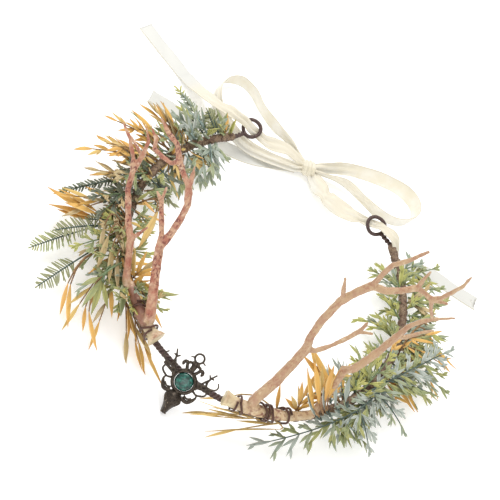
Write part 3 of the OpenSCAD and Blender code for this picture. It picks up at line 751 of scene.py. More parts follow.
# %% [markdown]
# ## Sprigs
# The same table as in the CAD source says where each stem starts, where it heads, how it rises and
# droops. The stem is a tapered wire, and the leaves sit on it in the way of their kind: in pairs,
# in turn, as a comb or as a fan of blades. A real wreath is denser than its CAD stand-ins, so a
# second table fills each piece with short stems along its stretch of the band, and a third one adds
# the large leaves that are seen one by one.

# %% The table of stems
# A stem starts at its seat on the band, or at a share of the way along the first stem of its piece.
Stem = namedtuple("Stem", "piece kind seat heading rise length droop drift start", defaults=(0, 0))
SPRIGS = [Stem(*row) for row in rows_of("""
    hang_a hang -54 35 -5 48 4, hang_a hang -54 50 -5 42 2 0 .45, hang_a hang -54 60 -5 40 2 0 .45
    hang_b hang -60 15 0 58 8, hang_c hang -64 0 0 62 7, green_a leafy -46 135 40 18 2
    yellow_a blade -52 140 75 20 2, green_b leafy -57 -10 15 24 4, green_b leafy -57 -25 5 28 4 0 .3
    fern_a fern -68 -20 0 62 8, fern_b fern -73 -35 0 58 8, fern_b fern -73 -40 10 32 4 0 .25
    green_c leafy -67 -30 20 40 5, green_c leafy -67 -10 5 28 5 0 .3, tan_a willow -71 5 25 36 6
    yellow_b hang -79 -50 15 54 4, yellow_b hang -79 -30 15 36 4 0 .35, dark_a leafy -83 -30 25 40 3
    dark_a leafy -83 -10 15 30 3 0 .3, beige_a willow -89 -45 25 46 3, heather needle -92 -35 5 58 5
    green_d leafy -93 -20 30 42 2, willow_a hang -96 -35 15 46 4, willow_b willow -100 -45 20 62 5
    willow_b willow -100 -55 30 34 3 0 .35, willow_c willow -107 -60 25 56 4
    willow_c willow -107 -60 40 30 4 0 .3, blue_a spray -110 -45 40 34 3, willow_d hang -113 -75 35 44 4
    blue_b spray -117 -65 45 30 3, blue_b spray -117 -110 60 20 3 0 .2, top_a spray -123 -95 35 28 4
    top_a needle -123 -120 10 32 5 0 .35, top_b fern -127 -105 40 18 2, lime_a blade -130 -100 35 15 0
    in_blue spray -122 35 0 26 6, in_blue spray -122 5 5 22 6 0 .2, in_yellow willow -110 30 5 30 6
    in_fern fern -101 20 -10 26 4, in_leaf willow -78 85 10 20 2, straw straw 23.5 -50 -5 32 3 -3
    straw straw 23.5 -65 -5 30 1 0 .4, star blade 41 -160 70 24 2, yellow_c blade 53 -105 45 36 0
    yellow_c leafy 53 160 55 24 1 0 .3, silver_a silver 79 5 15 86 28 -45, silver_a leafy 79 70 5 30 4 0 .2
    silver_a leafy 79 50 0 26 4 0 .45, silver_b silver 66 150 15 74 5, silver_b spray 66 125 -5 40 5 0 .35
    silver_c spray 58 75 -20 20 2, silver_c spray 58 90 -15 30 1 0 .2, lime_b leafy 69 170 35 30 1
    lime_b leafy 69 -140 35 18 1 0 .35, yellow_d willow 81 100 0 32 6, grey_a spray 85 130 0 44 5
    grey_a spray 85 115 -5 36 5 0 .3, fern_c fern 90 135 15 32 3, yellow_e hang 95 115 0 46 5
    grey_b spray 99 135 0 36 3, in_a leafy 98 -105 0 20 3, in_a spray 98 -90 -5 24 3 0 .2
    in_b leafy 117 -115 -5 22 3, out_a leafy 110 145 0 34 3, out_b leafy 121 150 0 36 3
    out_b spray 121 130 10 18 3 0 .3""")]

# %% [markdown]
# The short stems that fill a piece have seats between a first and a last one, and a range each for
# the turn from outwards, the rise and the length. A single leaf has a twig of its own.

# %% Fills and single leaves
# piece, kind, first and last seat, how many, least and most turn, rise and length
FILLS = rows_of("""
    hang_a hang -57 -51 2 80 105 0 20 16 26, green_a leafy -53 -43 3 130 215 15 45 4 9
    green_a leafy -52 -42 3 -30 60 10 50 4 10, green_b leafy -63 -49 5 -20 80 0 50 6 16
    green_b willow -62 -52 2 50 90 -5 25 8 16, green_c leafy -76 -64 5 -30 70 5 50 6 18
    green_c leafy -76 -60 3 140 220 10 50 3 8, tan_a willow -74 -66 3 20 85 5 40 8 18
    fern_b fern -78 -70 2 20 70 0 30 16 22, dark_a leafy -88 -78 4 -30 70 10 50 5 16
    in_leaf willow -90 -76 3 120 230 0 35 3 9, beige_a willow -92 -84 4 -10 70 10 45 6 16
    heather leafy -96 -88 2 -30 60 5 45 5 14, green_d leafy -98 -90 3 -20 70 15 50 5 14
    in_fern spray -106 -92 3 130 180 -15 20 6 14, in_fern fern -102 -94 1 140 165 -15 0 14 20
    willow_a willow -100 -94 3 20 50 10 30 16 26, willow_b willow -104 -97 3 30 60 15 35 22 34
    willow_c willow -109 -102 2 20 60 15 45 14 22, willow_d willow -116 -110 2 5 40 25 45 16 26
    blue_a spray -114 -104 3 -20 70 20 55 4 12, in_yellow willow -114 -102 3 120 180 -10 25 4 12
    blue_b spray -118 -112 1 0 50 10 40 3 6, in_blue spray -127 -111 6 145 190 -25 10 6 14
    straw straw 26 38 2 -92 -82 -6 0 24 34, top_a spray -125 -120 1 20 60 5 30 3 6
    top_b fern -128 -120 2 0 50 15 45 10 16, lime_a blade -131 -126 1 20 60 25 55 1 2
    star blade 40 44 1 150 200 50 75 1 3, yellow_c willow 54 64 3 140 220 10 40 3 9
    lime_b leafy 62 80 5 130 220 15 50 3 9, silver_c spray 52 70 4 -70 40 -15 15 6 14
    silver_c fern 60 72 2 -20 30 -10 15 12 16, silver_b spray 60 72 3 -30 60 0 40 5 14
    silver_b silver 52 74 4 140 215 20 50 3 8, silver_a spray 74 84 4 -60 30 -10 30 6 16
    yellow_d willow 74 86 3 -30 40 -10 25 5 12, grey_a spray 80 92 5 -40 50 -10 30 6 16
    in_a spray 82 92 3 130 220 5 40 4 10, yellow_e willow 90 99 3 -10 50 -5 35 6 14
    grey_b spray 92 104 4 -30 50 -5 30 6 14, in_a leafy 94 108 4 130 220 -5 35 5 12
    fern_c fern 90 108 3 -20 50 -5 25 12 18, out_a spray 102 114 4 -40 40 0 35 6 16
    in_b spray 109 120 4 130 220 -5 30 5 12, out_b spray 114 125 4 -30 40 0 35 6 16""")
# piece, seat, the twig's heading, rise and length, the leaf's heading, rise, length, width and curl
SINGLES = rows_of("""
    yellow_c 59.5 -101 28 7 -100 28 31 5.2 .1, yellow_c 59.5 -101 28 5 -92 24 29 4.6 -.1
    yellow_c 60 -101 28 4 -116 24 18 3.4 .3, in_leaf -80 50 45 22 7 -18 24 4 -.3
    in_leaf -80 50 42 20 22 -34 15 3.2 -.3, in_blue -115 136 -20 3 67 -30 19 3.2 .5
    in_blue -113 149 -30 5 74 -35 14 2.8 .4, in_blue -107 47 -30 4 61 -24 20 3.2 .5
    in_blue -120 158 -25 2 104 -35 16 2.8 .4, in_fern -101 28 -30 5 20 -22 18 2.8 .4
    in_yellow -105 20 -12 7 64 -30 17 2.6 .3, blue_b -118 -51 40 9 -102 48 19 3.6 -.3
    blue_b -116 -70 40 8 -109 30 14 3.2 .3, green_a -46 150 12 8 85 35 13 2.8 .3
    green_a -46 168 5 9 68 55 12 2.8 -.2, yellow_a -54 -107 70 4 113 -5 17 3.2 .3
    yellow_a -56 -120 70 3 108 22 14 2.8 .2, hang_c -62 -20 -9 36 26 -16 26 2.8 .4
    hang_c -62 -21 -6 38 18 -20 19 2.6 .3, hang_b -57 -2 -9 34 41 -17 23 2.6 .4
    hang_b -57 -7 -9 33 26 -22 14 2.4 .3, hang_a -51 48 -14 34 53 -8 23 2.2 .2
    hang_a -52 40 -12 32 44 -18 16 2.2 .3, silver_b 50 -15 43 19 -109 24 13 3.2 .3
    silver_b 54 -17 44 20 -108 38 15 3.2 .4, silver_b 58 -18 44 20 -116 44 16 3.2 .3
    silver_b 62 -18 43 17 -131 46 15 3.2 .3, yellow_c 50 -26 48 22 -121 31 22 4 .2
    yellow_c 52 -29 50 24 -130 37 22 3.6 -.2, yellow_c 53 -29 55 23 -146 41 20 3.6 .3
    yellow_c 54 -31 57 24 -165 34 18 3.4 .2, green_b -57 -15 12 21 -1 -22 20 3.4 .3
    green_b -57 -14 8 20 20 -24 19 3.4 -.2, green_b -58 -15 14 24 -28 -18 12 3 .3
    green_b -57 -10 8 20 50 -34 14 3 .3, green_a -50 -11 32 5 26 -30 16 3.2 .3
    green_a -50 -3 36 4 53 -34 14 3 .3, tan_a -64 -15 33 18 29 -28 20 3.2 .3
    tan_a -68 -20 30 20 18 -24 20 3.4 -.3, tan_a -70 -30 30 21 24 -28 17 3 .3
    tan_a -60 -10 35 15 41 -35 17 3 .3, willow_c -107 -60 38 20 -84 24 19 2.4 -.2
    willow_d -113 -70 45 18 -96 34 15 2.6 -.2, yellow_d 78 132 22 8 80 -33 24 3.2 .3
    yellow_d 80 135 10 10 71 -28 24 3 .2, yellow_e 92 155 2 28 64 -28 23 3 .3
    yellow_e 90 158 4 28 87 -25 28 3 .3, yellow_b -75 -48 5 19 -78 0 29 4.2 .2
    yellow_b -74 -49 0 18 -76 -6 25 4 -.2, yellow_b -75 -50 8 18 -88 5 24 3.6 -.3
    yellow_b -73 -54 -5 17 -71 -12 20 3.8 .2, yellow_b -74 -47 12 19 -70 6 18 3.8 -.2
    tan_a -72 -50 35 9 38 -10 21 3.8 .3, star 33 -120 45 1 -128 50 15 3 .2
    straw 30 10 20 4 -69 -6 42 1 .2, straw 32 60 0 6 -60 -14 40 1.2 -.2
    straw 34 -80 -10 26 -50 -14 18 1.8 .3, tan_a -70 -50 30 7 46 -12 19 3.6 .4
    tan_a -74 -60 35 10 30 -5 17 3.2 .2, green_a -48 120 25 4 112 15 19 3.2 .2
    green_a -48 120 25 4 92 30 16 2.8 -.2""")

# %% [markdown]
# A kind of stem says which form its leaves take, their size, angle and spacing, how long the CAD's
# leaf is, which record slot the piece has, and which stem finish and three leaf tones it gets. Some
# pieces have tones of their own.

# %% Kinds and tones
Kind = namedtuple("Kind", "form blank length width angle spacing solid_leaf slot stem tones")
KINDS = {
    "hang": Kind("blade", BROAD, 22, 2.4, 15, 8.5, 24, "leaf_ochre", "brown", "ochre straw tan"),
    "willow": Kind("blade", BROAD, 15, 2.1, 27, 6.0, 17, "leaf_ochre", "brown", "ochre straw green"),
    "leafy": Kind("fork", LOBE, 12, 1.9, 40, 7.0, 12, "leaf_green", "green", "green lime tan"),
    "blade": Kind("fan", BROAD, 16, 2.9, 30, 3.0, 15, "leaf_lime", "brown", "lime green ochre"),
    "fern": Kind("comb", NEEDLE, 6.8, 0.85, 74, 1.35, 4, "leaf_fern", "dark", "fern green dark"),
    "needle": Kind("needle", NEEDLE, 4.4, 1.0, 50, 2.1, 5, "leaf_heather", "dark", "heather dark fern"),
    "spray": Kind("fork", BROAD, 15, 2.5, 34, 7.0, 13, "leaf_blue", "grey", "blue green lime"),
    "silver": Kind("frond", BROAD, 13, 2.1, 44, 5.0, 15, "leaf_silver", "dark", "silver blue green"),
    "straw": Kind("blade", BROAD, 22, 1.4, 10, 12.0, 22, "leaf_straw", "straw", "straw straw ochre"),
}
OWN_TONES = {row[0]: row[1:] for row in rows_of("""
    star ochre straw ochre, yellow_a ochre straw tan, yellow_c ochre straw ochre, tan_a tan straw green
    beige_a tan straw green, dark_a dark tan green, green_b green tan blue, green_c green lime tan
    green_d green tan dark, heather heather tan green, lime_b lime green lime, in_leaf straw green ochre
    in_yellow straw blue ochre, in_blue blue silver straw, silver_b silver green blue
    silver_a silver blue green, silver_c green silver lime, fern_c green fern blue, blue_a green blue tan
    grey_a green blue ochre, grey_b blue green lime, in_a green lime blue, in_b green lime blue
    out_b green lime blue, blue_b blue silver lime, top_a blue silver lime, out_a green lime tan""")}

# %% [markdown]
# The stem's formulas are those of the CAD source, so a leafy stem lies where its solid lies.

# %% Stems
STEM_R, NEEDLE_STEM_R, STEM_TAPER, STEM_CLEAR = 0.6, 0.9, 0.45, 0.9


def headed(heading, rise):
    return spin(math.radians(rise), outward(heading), UP)


def stem_span(s):
    """How much of a stem's stated length is stem. The rest is the leaf at its end."""
    return s.length - 0.8 * KINDS[s.kind].solid_leaf


def off_band(seat, d, radius):
    """The place on the tape's surface from which something leaves the band in direction d."""
    return band_at(seat) + radius * unit(d - (d @ along(seat)) * along(seat))


def sag(s):
    """How far a stem's end is drawn aside and down."""
    return s.drift * along(s.heading) - s.droop * UP


def stem_at(s, u):
    if s.start > 0:
        foot = stem_at(next(first for first in SPRIGS if first.piece == s.piece), s.start)
    else:
        d = headed(s.heading, s.rise)
        foot = off_band(s.seat, d, TAPE_R + GAP + STEM_R * abs(d @ along(s.seat)))
    return foot + stem_span(s) * u * headed(s.heading, s.rise) + u * u * sag(s)


def stem_run(s, u):
    return unit(stem_span(s) * headed(s.heading, s.rise) + 2 * u * sag(s))


def lifted(p):
    return np.array([p[0], p[1], max(p[2], STEM_CLEAR)])


def stem_wire(s, steps=14):
    """The places and radii of a stem that grows thinner towards its end."""
    radius = NEEDLE_STEM_R if s.kind == "needle" else STEM_R
    return [(lifted(stem_at(s, i / steps)), radius * (1 - STEM_TAPER * i / steps)) for i in range(steps + 1)]


# %% [markdown]
# Now each stem is dressed. Leaves near the foot are longer and stand at wider angles, those near the
# end are shorter and lie closer to the stem, and each is turned a little out of the plane.

# %% Dressing a stem
BARE_STEM, BARE_TWIG, COMB_REACH = 0.22, 0.12, 24.0


def leaf_frame(s, u, angle, roll):
    """Direction and side of a leaf that leaves the stem at an angle, turned about the stem by roll."""
    run = stem_run(s, u)
    side = sideways(run)
    normal = np.cross(run, side)
    across = spin(roll, side, normal)
    d = spin(angle, run, across)
    return d, unit(np.cross(np.cross(run, across) if abs(math.sin(angle)) > 0.05 else normal, d))


def dress(leaves, s):
    form, blank, length, width, angle, spacing = KINDS[s.kind][:6]
    dice, span = leaves.dice, stem_span(s)
    first = (BARE_TWIG if s.start > 0 else BARE_STEM) * span
    if form == "comb":
        first = max(BARE_TWIG * span, span - COMB_REACH)
    count = max(1 if span < 2.5 * spacing else 2, int((span - first) / spacing))
    leaves.pick_tone()
    for i in range(count + 1):
        u = (first + (span - first) * i / count) / span
        last = i == count
        base = lifted(stem_at(s, u))
        for hand in (-1,) if last else (-1, 1):
            turned = 0.0 if last else math.radians(hand * angle * dice.uniform(0.75, 1.25) * (1.15 - 0.4 * u))
            if form == "comb":
                grow = max(math.sin(math.pi * min(1.0, 0.2 + 0.8 * i / count)) ** 0.5, 0.3)
                d, side = leaf_frame(s, u, turned, dice.uniform(-0.08, 0.08))
                leaves.leaf(blank, base, d, side, length * grow, width, dice.uniform(-0.2, 0.1), thick=0.3)
                continue
            if form == "needle":
                leaves.tone = 2 if i > count - 3 else 0
                for roll in (dice.uniform(-0.5, 0.2), dice.uniform(0.6, 1.6)):
                    d, side = leaf_frame(s, u, turned, roll)
                    leaves.leaf(blank, base, d, side, length * dice.uniform(0.7, 1.1), width,
                                dice.uniform(-0.3, 0.4), thick=0.4)
                continue
            if form == "blade" and not last and (i + (hand > 0)) % 2 or form == "fan" and i > 1 and not last:
                continue
            leaves.pick_tone()
            if form == "fan":
                d, side = leaf_frame(s, u, turned * (1.5 if i == 0 else 0.8), dice.uniform(-0.5, 0.5))
                leaves.leaf(blank, base, d, side, length * dice.uniform(0.7, 1.05),
                            width * dice.uniform(0.8, 1.1), dice.uniform(-0.35, 0.1),
                            dice.uniform(-0.4, 0.4), 0.08)
                continue
            roll = dice.uniform(-0.4, 0.4)
            long = length * (dice.uniform(0.75, 1.08) * (1.05 - 0.25 * u))
            d, side = leaf_frame(s, u, turned, roll)
            curl, twist = dice.uniform(-0.45, 0.25), dice.uniform(-0.5, 0.5)
            if form == "blade":
                leaves.leaf(blank, base, d, side, long, width * dice.uniform(0.85, 1.15), curl, twist, 0.05)
                if dice.random() < 0.5 and s.kind == "willow":
                    leaves.leaf(blank, base, *leaf_frame(s, u, turned * 1.9, roll), long * 0.5, width * 0.7,
                                curl, twist)
            elif form == "frond":
                outer = hand * np.cross(UP, stem_run(s, u)) @ base > 0
                stretch = 1.7 if last else 1.35 if outer else 1.05
                leaves.forked(blank, base, d, side, stretch * long, width, 2, -0.5 if outer else 0.25, twist)
            else:
                lobes = dice.choice((1, 2) if s.kind == "spray" else (2, 3))
                leaves.forked(blank, base, d, side, long, width * dice.uniform(0.85, 1.1), lobes, curl, twist)


# %% [markdown]
# Three more ways to set leaves: a tuft hides the place where the stem is wound into the tape, a row
# of fills dresses short stems like long ones, and a single leaf ends a bent twig.

# %% Tufts, fills and single leaves
TUFT_LEAVES, TUFT_LENGTH = 3, 14
UNTUFTED = ("straw", "star")


def tuft(leaves, s):
    form, blank, length, width = KINDS[s.kind][:4]
    dice = leaves.dice
    if form in ("comb", "needle"):
        form, blank, length, width = "fork", LOBE, 9, 2.2
    length = min(length, TUFT_LENGTH)
    for _ in range(TUFT_LEAVES):
        leaves.pick_tone()
        t = s.seat + dice.uniform(-4, 4)
        d = headed(s.heading + dice.uniform(-70, 70), min(s.rise, 40) + dice.uniform(-25, 45))
        foot = off_band(t, d, TAPE_R - 0.2)
        side = sideways(d)
        side = spin(dice.uniform(-0.6, 0.6), side, np.cross(d, side))
        curl, twist = dice.uniform(-0.4, 0.5), dice.uniform(-0.5, 0.5)
        if form in ("fork", "frond"):
            leaves.forked(blank, foot, d, side, length * dice.uniform(0.6, 0.95), width, 3, curl, twist)
        else:
            leaves.leaf(blank, foot, d, side, length * dice.uniform(0.6, 0.95), width, curl, twist)


def filled(leaves, row):
    """Dresses the short stems of one row of fills, and returns their wires."""
    name, kind, seat, last_seat, count, turn, most_turn, rise, most_rise, least, most = row
    dice, runs = leaves.dice, []
    for i in range(count):
        at = seat + (last_seat - seat) * (i + dice.uniform(0.2, 0.8)) / count
        span = dice.uniform(least, most)
        s = Stem(name, kind, at, at + dice.uniform(turn, most_turn), dice.uniform(rise, most_rise),
                 span + 0.8 * KINDS[kind].solid_leaf, 0.08 * span)
        dress(leaves, s)
        runs.append(stem_wire(s, 6))
    return runs


def single(leaves, row):
    """Sets one leaf, and returns the wire of its twig."""
    _, seat, heading, rise, twig, leaf_heading, leaf_rise, length, width, curl = row
    d = headed(heading, rise)
    start = off_band(seat, d, TAPE_R)
    foot = lifted(start + twig * d)
    d = headed(leaf_heading, leaf_rise)
    leaves.tone = 0
    leaves.leaf(BROAD, foot, d, sideways(d), length, width, curl, leaves.dice.uniform(-0.5, 0.5), 0.08)
    bend = foot - 0.5 * twig * d + 0.25 * twig * UP
    arc = [(1 - u) ** 2 * start + 2 * u * (1 - u) * bend + u * u * foot for u in (0.2, 0.4, 0.6, 0.8)]
    return [(start, 0.5)] + [(lifted(p), 0.45) for p in arc] + [(foot, 0.35)]


# %% Sprigs
total = 0
for seed, name in enumerate(dict.fromkeys(s.piece for s in SPRIGS), 1000):
    rows = [s for s in SPRIGS if s.piece == name]
    kind = KINDS[rows[0].kind]
    leaves, runs = Foliage(seed), []
    for s in rows:
        runs.append(stem_wire(s))
        dress(leaves, s)
    if name not in UNTUFTED:
        tuft(leaves, rows[0])
    for row in FILLS:
        if row[0] == name:
            runs += filled(leaves, row)
    runs += [single(leaves, row) for row in SINGLES if row[0] == name]
    stems = wires(f"stems_{name}", runs, 1)
    stems.data.materials.append(STEM[kind.stem])
    foliage = leaves.mesh(f"leaves_{name}")
    for tone in OWN_TONES.get(name, kind.tones.split()):
        foliage.data.materials.append(LEAF[tone])
    total += len(leaves.points)
    done(joined(f"foliage_{name}", foliage, stems), kind.slot, f"sprig_{name}")
print(total, "leaves")

# %% [markdown]
# ## Ribbon
# The ribbon is 10 mm satin, cut about a third of a millimetre thick here. It lies flat on the table,
# stands on its edge in the loops of the bow, and is gathered where it passes through an eye or into
# the knot. A gathered strip keeps its 10 mm of cloth, so its width is taken up in small waves.

# %% Ribbon strips
RIBBON_WIDTH, RIBBON_T, RIBBON_STEPS, RIBBON_ACROSS = 10.0, 0.3, 8, 14
RIBBON_LEFT = rows_of("""
    -10.5 98.6 6.8 0 4.5, -24 98 9.5 0 9, -34 92 11.5 -10 9, -41 89.5 13 -25 6, -44.6 89 13.8 -25 6
    -50 88 16 -25 6, -55.4 87 18.3 -25 6, -59.5 87 19 -25 6, -66 87 18.5 -10 8, -74 90 15 0 9
    -83 97 9 0 10, -93 104 3.5 0 10, -104 111 1 0 10, -120 118 1 0 10, -137 126 1 0 10""")
RIBBON_RIGHT = rows_of("""
    -5.5 98.5 5.5 0 5, -1 94.5 5.2 25 8.5, 4 90.3 5.6 35 10, 8.5 87.2 6.2 5 9, 12 85.6 6.8 30 9.5
    18 83.8 7.6 40 10, 25 82.2 9.2 30 9.5, 29.5 81.5 10.8 20 8, 34 81.4 12.3 24 5.6, 37.6 81.2 13.6 24 5.6
    43 79.8 16.6 15 6, 47 78.6 19.6 0 7, 52 76.4 20.6 0 8, 57 75 19.6 0 8.5, 61.5 74.4 14.5 0 8.5
    65 75 8 0 9, 70 78 2.6 0 10, 77 83 1.1 0 10, 84 87 1 0 10, 92 89 1 0 10, 107 89 1 0 10, 123 90 1 0 10""")
RIBBON_TAIL = rows_of("""
    -10.8 98.4 3.4 0 4.5, -16 96 1.4 0 6, -27 90 1 0 8, -42 82 1 0 10, -60 77 1 0 10, -78 78 1 0 10
    -95 79 1 0 10, -110 78 1 0 10""")
LOOP_LEFT = rows_of("""
    -10.5 101 5.6 50 4, -16 104 5.8 60 6, -25 108 6 75 8, -38 112 6.5 80 10, -50 118 6.5 80 10
    -60 126 6.5 80 10, -70 128 6.5 80 10, -78 121 6.5 80 10, -79 109 6.2 80 9, -73 98 6.2 70 8
    -62 89 6.2 65 8, -48 84 6.2 65 8, -32 86 6 65 7, -16.5 92.4 5.6 60 6, -10.8 96.4 5.4 50 4""")
LOOP_RIGHT = rows_of("""
    -5.6 100.6 6 50 4.5, -.6 105 6 60 7, 8 114 6 75 9, 22 122 6.5 80 10, 37 128 6.5 80 10, 52 130 6.5 80 10
    62 124 6.5 80 10, 63 113 6.5 80 10, 56 104 6.5 80 10, 44 101 6 80 10, 30 104 6 80 9, 15 106 6 75 9
    0 101.8 5.2 60 7, -5.6 99.4 5 50 4.5""")


def smooth(rows, steps):
    """Points of a soft curve that goes through every row, with so many steps between two rows."""
    rows = [np.array(r, float) for r in rows]
    last, out = len(rows) - 1, []
    for i in range(last):
        a, b, c, d = rows[max(i - 1, 0)], rows[i], rows[i + 1], rows[min(i + 2, last)]
        for u in (k / steps for k in range(steps)):
            out.append(0.5 * (2 * b + (c - a) * u + (2 * a - 5 * b + 4 * c - d) * u * u
                              + (3 * b - 3 * c + d - a) * u ** 3))
    return out + [rows[last]]


def scale_uv(obj, length, width):
    """Stretches the grid's UV map, so that one unit is a millimetre of cloth."""
    uv = np.zeros(len(obj.data.loops) * 2, np.float32)
    layer = obj.data.uv_layers.active.data
    layer.foreach_get("uv", uv)
    layer.foreach_set("uv", (uv.reshape(-1, 2) * (length, width)).astype(np.float32).ravel())


def strip(name, rows, notch):
    """A ribbon along rows of x, y, z, turn and width. Its finish reads the grid's UV map."""
    path, seed = smooth(rows, RIBBON_STEPS), len(name)
    last, length, places = len(path) - 1, 0.0, []
    for i, p in enumerate(path):
        a, b = path[max(i - 1, 0)], path[min(i + 1, last)]
        if i:
            length += np.linalg.norm(p[:3] - a[:3])
        d = unit(b[:3] - a[:3])
        side = sideways(d)
        side = spin(math.radians(p[3]), side, np.cross(d, side))
        n = unit(np.cross(d, side))
        width = min(p[4], RIBBON_WIDTH)
        wave = math.sqrt(max(RIBBON_WIDTH / width - 1, 0)) * width / (2 * math.pi)
        flat = abs(p[3]) < 1 and p[2] < 1.6
        row = []
        for v in (k / RIBBON_ACROSS - 0.5 for k in range(RIBBON_ACROSS + 1)):
            rise = wave * math.sin(4 * math.pi * v + 0.7 * math.sin(0.35 * i + seed))
            rise += 0.35 * math.sin(0.5 * i + seed) * v + 0.5 * (0.25 - v * v) * math.sin(0.21 * i + 2 * seed)
            q = p[:3] + v * width * side + rise * n
            if flat:
                q[2] = 0.35 + 0.35 * abs(math.sin(0.3 * i + 2 * v + seed))
            q[2] = max(q[2], RIBBON_T)
            if notch and i == last:
                q = q - notch * (1 - 2 * abs(v)) * d
            row.append(q)
        places.append(row)
    obj = laid(name, places)
    scale_uv(obj, length, RIBBON_WIDTH)
    thick = obj.modifiers.new("cloth", "SOLIDIFY")
    thick.thickness, thick.offset = RIBBON_T * MM, 0.0
    apply_all(obj)
    print(name, "is", round(length), "mm long")
    return obj, length * MM


# %% [markdown]
# Satin is white where it stands or turns. Where it faces up it is painted a greyer shade, greyest
# where it lies low near the bright table: painted shade that tones down the light from above. Its
# weave and its two sewn edges are bumps along and across the strip.

# %% Satin
f = Finish("ivory_satin")
across = f.part(f.cloth(), "Y")
weave = f.waves({"bands_direction": "X"}, f.cloth(), 2.2, 0.4)
threads = f.waves({"bands_direction": "Y"}, f.cloth(), 1.6, 0.6)
edge = f.band_of(abs(across - 0.5 * RIBBON_WIDTH), 4.55, 4.85)
cloud = f.noise(9.0, 3.0)
# Painted shade: cloth that faces up is painted greyer, and greyest where it lies low on the table.
painted_shade_up_faces = abs(f.part(f.node("ShaderNodeNewGeometry", {}, out="Normal"), "Z"))
painted_shade_laid_grey = f.blend(f.band_of(f.part(f.place(), "Z"), 0.002, 0.007), "#DBDAD3", "#E3DBC6")
tone = f.blend(f.band_of(cloud, 0.35, 0.7), "#F1EAD6", "#F8F4E8")
tone = f.blend(f.band_of(painted_shade_up_faces, 0.3, 0.9), tone, painted_shade_laid_grey)
tone = f.blend(edge * 0.6, tone, "#D8CEB2")
SATIN = f.shade(tone, 0.34 + 0.1 * cloud + 0.2 * edge, f.bump(0.5 * weave + 0.5 * threads + edge, 0.05, 0.5),
                Sheen_Weight=0.25)

for name, node, rows, held, notch in (
        ("satin_left", "ribbon_left", RIBBON_LEFT, "gathered", 0.0),
        ("satin_right", "ribbon_right", RIBBON_RIGHT, "gathered", 5.0),
        ("satin_tail", "ribbon_tail", RIBBON_TAIL, "laid", 0.0),
        ("bow_left", "loop_left", LOOP_LEFT, "folded", 0.0),
        ("bow_right", "loop_right", LOOP_RIGHT, "folded", 0.0)):
    obj, length = strip(name, rows, notch)
    done(obj, "satin", node, materials=[SATIN])

# %% [markdown]
# The knot is a short turn of the same ribbon round the crossing. Its cloth is pulled in to a few soft
# folds, so the barrel is grooved along its turn.

# %% Knot
KNOT_AT = np.array([-8.0, 99.0, 5.5])
KNOT_RUN = unit(np.array([0.9, 0.4, 0.0]))
KNOT_HALF, KNOT_STEPS, KNOT_SIDES = 4.2, 24, 32


def knot():
    side, rows = sideways(KNOT_RUN), []
    for share in (i / KNOT_STEPS * 2 - 1 for i in range(KNOT_STEPS + 1)):
        swell = math.sqrt(max(1 - share ** 4, 0.0))
        row = []
        for angle in around(KNOT_SIDES):
            fold = 0.35 * math.sin(3.2 * math.pi * share + 1.3 * math.sin(angle))
            fold += 0.2 * math.sin(2 * angle + 4 * share)
            radius = (2.6 + 1.7 * swell) + fold * swell
            row.append(KNOT_AT + KNOT_HALF * share * KNOT_RUN + radius * spin(angle, 1.15 * side, UP))
        rows.append(row)
    obj = laid("bow_knot", rows, closed=True)
    scale_uv(obj, 10, 30)
    return obj


done(knot(), "satin", "knot", materials=[SATIN])

# %% [markdown]
# ## Pendant
# The pendant is a cast bronze plate: a rope-edged cup for the stone, two antlers that branch and
# curl to the sides, a crest with a hanging ring, and a stag's mask below. Cast parts flow into each
# other, so the strokes are laid as tapered wires, joined with the mask, and remeshed into one skin.

# %% Pendant's plane
PENDANT_LEAN = math.radians(40)
PENDANT_SEAT, PENDANT_DROP = -7.5, 2.2
STONE_R, STONE_H, PLATE_T = 5.0, 2.4, 2.0
RING_UP, RING_R = 14.6, 2.5
pendant_up = np.array([0, math.sin(PENDANT_LEAN), math.cos(PENDANT_LEAN)])
pendant_out = np.array([0, -math.cos(PENDANT_LEAN), math.sin(PENDANT_LEAN)])
pendant_at = np.array([band_at(PENDANT_SEAT)[0], -HALF_LENGTH, BAND_RISE])
pendant_at = pendant_at + pendant_out * (WIRE_R + GAP) - PENDANT_DROP * pendant_up


def on_plate(x, y, z):
    return pendant_at + x * np.array([1.0, 0, 0]) + y * pendant_up + z * pendant_out


# Strokes of one side, and strokes on the middle line: across, up, out and radius
FILIGREE = [
    "5.8 2.4 .9 .95, 8.4 3.6 1 .8, 11 4 1 .7, 13.6 4.2 1.1 .6, 16 5.4 1.1 .5, 16.6 7.4 1 .45, 15.3 9.3 1 .42",
    "11 4 1 .7, 10.4 6.4 1 .6, 10.7 8.8 1 .6, 11.6 10.8 1 .5, 12.6 12.6 1 .45",
    "10.7 8.8 1 .55, 9.2 10.6 1 .45",
    "10.9 9.4 1 .5, 12.6 9.6 1 .42",
    "7 1.4 .9 .7, 9.4 6.2 .9 .55, 10.5 8 .9 .5",
    "6.4 -1.4 .9 .7, 8.8 -2.4 .9 .55, 11 -1.8 .9 .6, 13 -.4 .9 .55, 13.2 1.4 .9 .55, 12.4 2.8 .9 .6,"
    "11 3.8 .9 .6",
    "6.6 .6 .9 .7, 9 1.6 1 .8, 12 2.4 1 .8, 14.5 3.2 1 .7",
    "2.2 6 1 1, 3.3 8 1 .9, 4.2 9.8 1 .9, 5.6 9.6 1 .8, 6 8.2 1 .7, 5.2 7.4 1 .6",
    "0 9.6 1.2 1.3, 1.6 10.8 1 .9, 2.8 10.4 1 .7",
    "3.6 -7.4 .8 1, 5.4 -8.4 .8 1.1, 7.4 -8.2 .8 1.1, 9 -6.2 .8 1, 9.9 -4 .8 .6, 9.4 -2.4 .8 .45",
    "4.2 -6.2 .8 .6, 6.4 -6.6 1.2 .5, 8.2 -5.2 1.2 .45",
    "2.6 -8.2 2.6 .7, 4.4 -10.4 2.4 .55, 2.8 -13.4 3 .45",
]
SPINE = [f"0 6 .9 1.4, 0 9.6 1.4 1.6, 0 {RING_UP - RING_R} .9 .8", "0 -5.8 .9 1.5, 0 -9 1.6 1.9"]
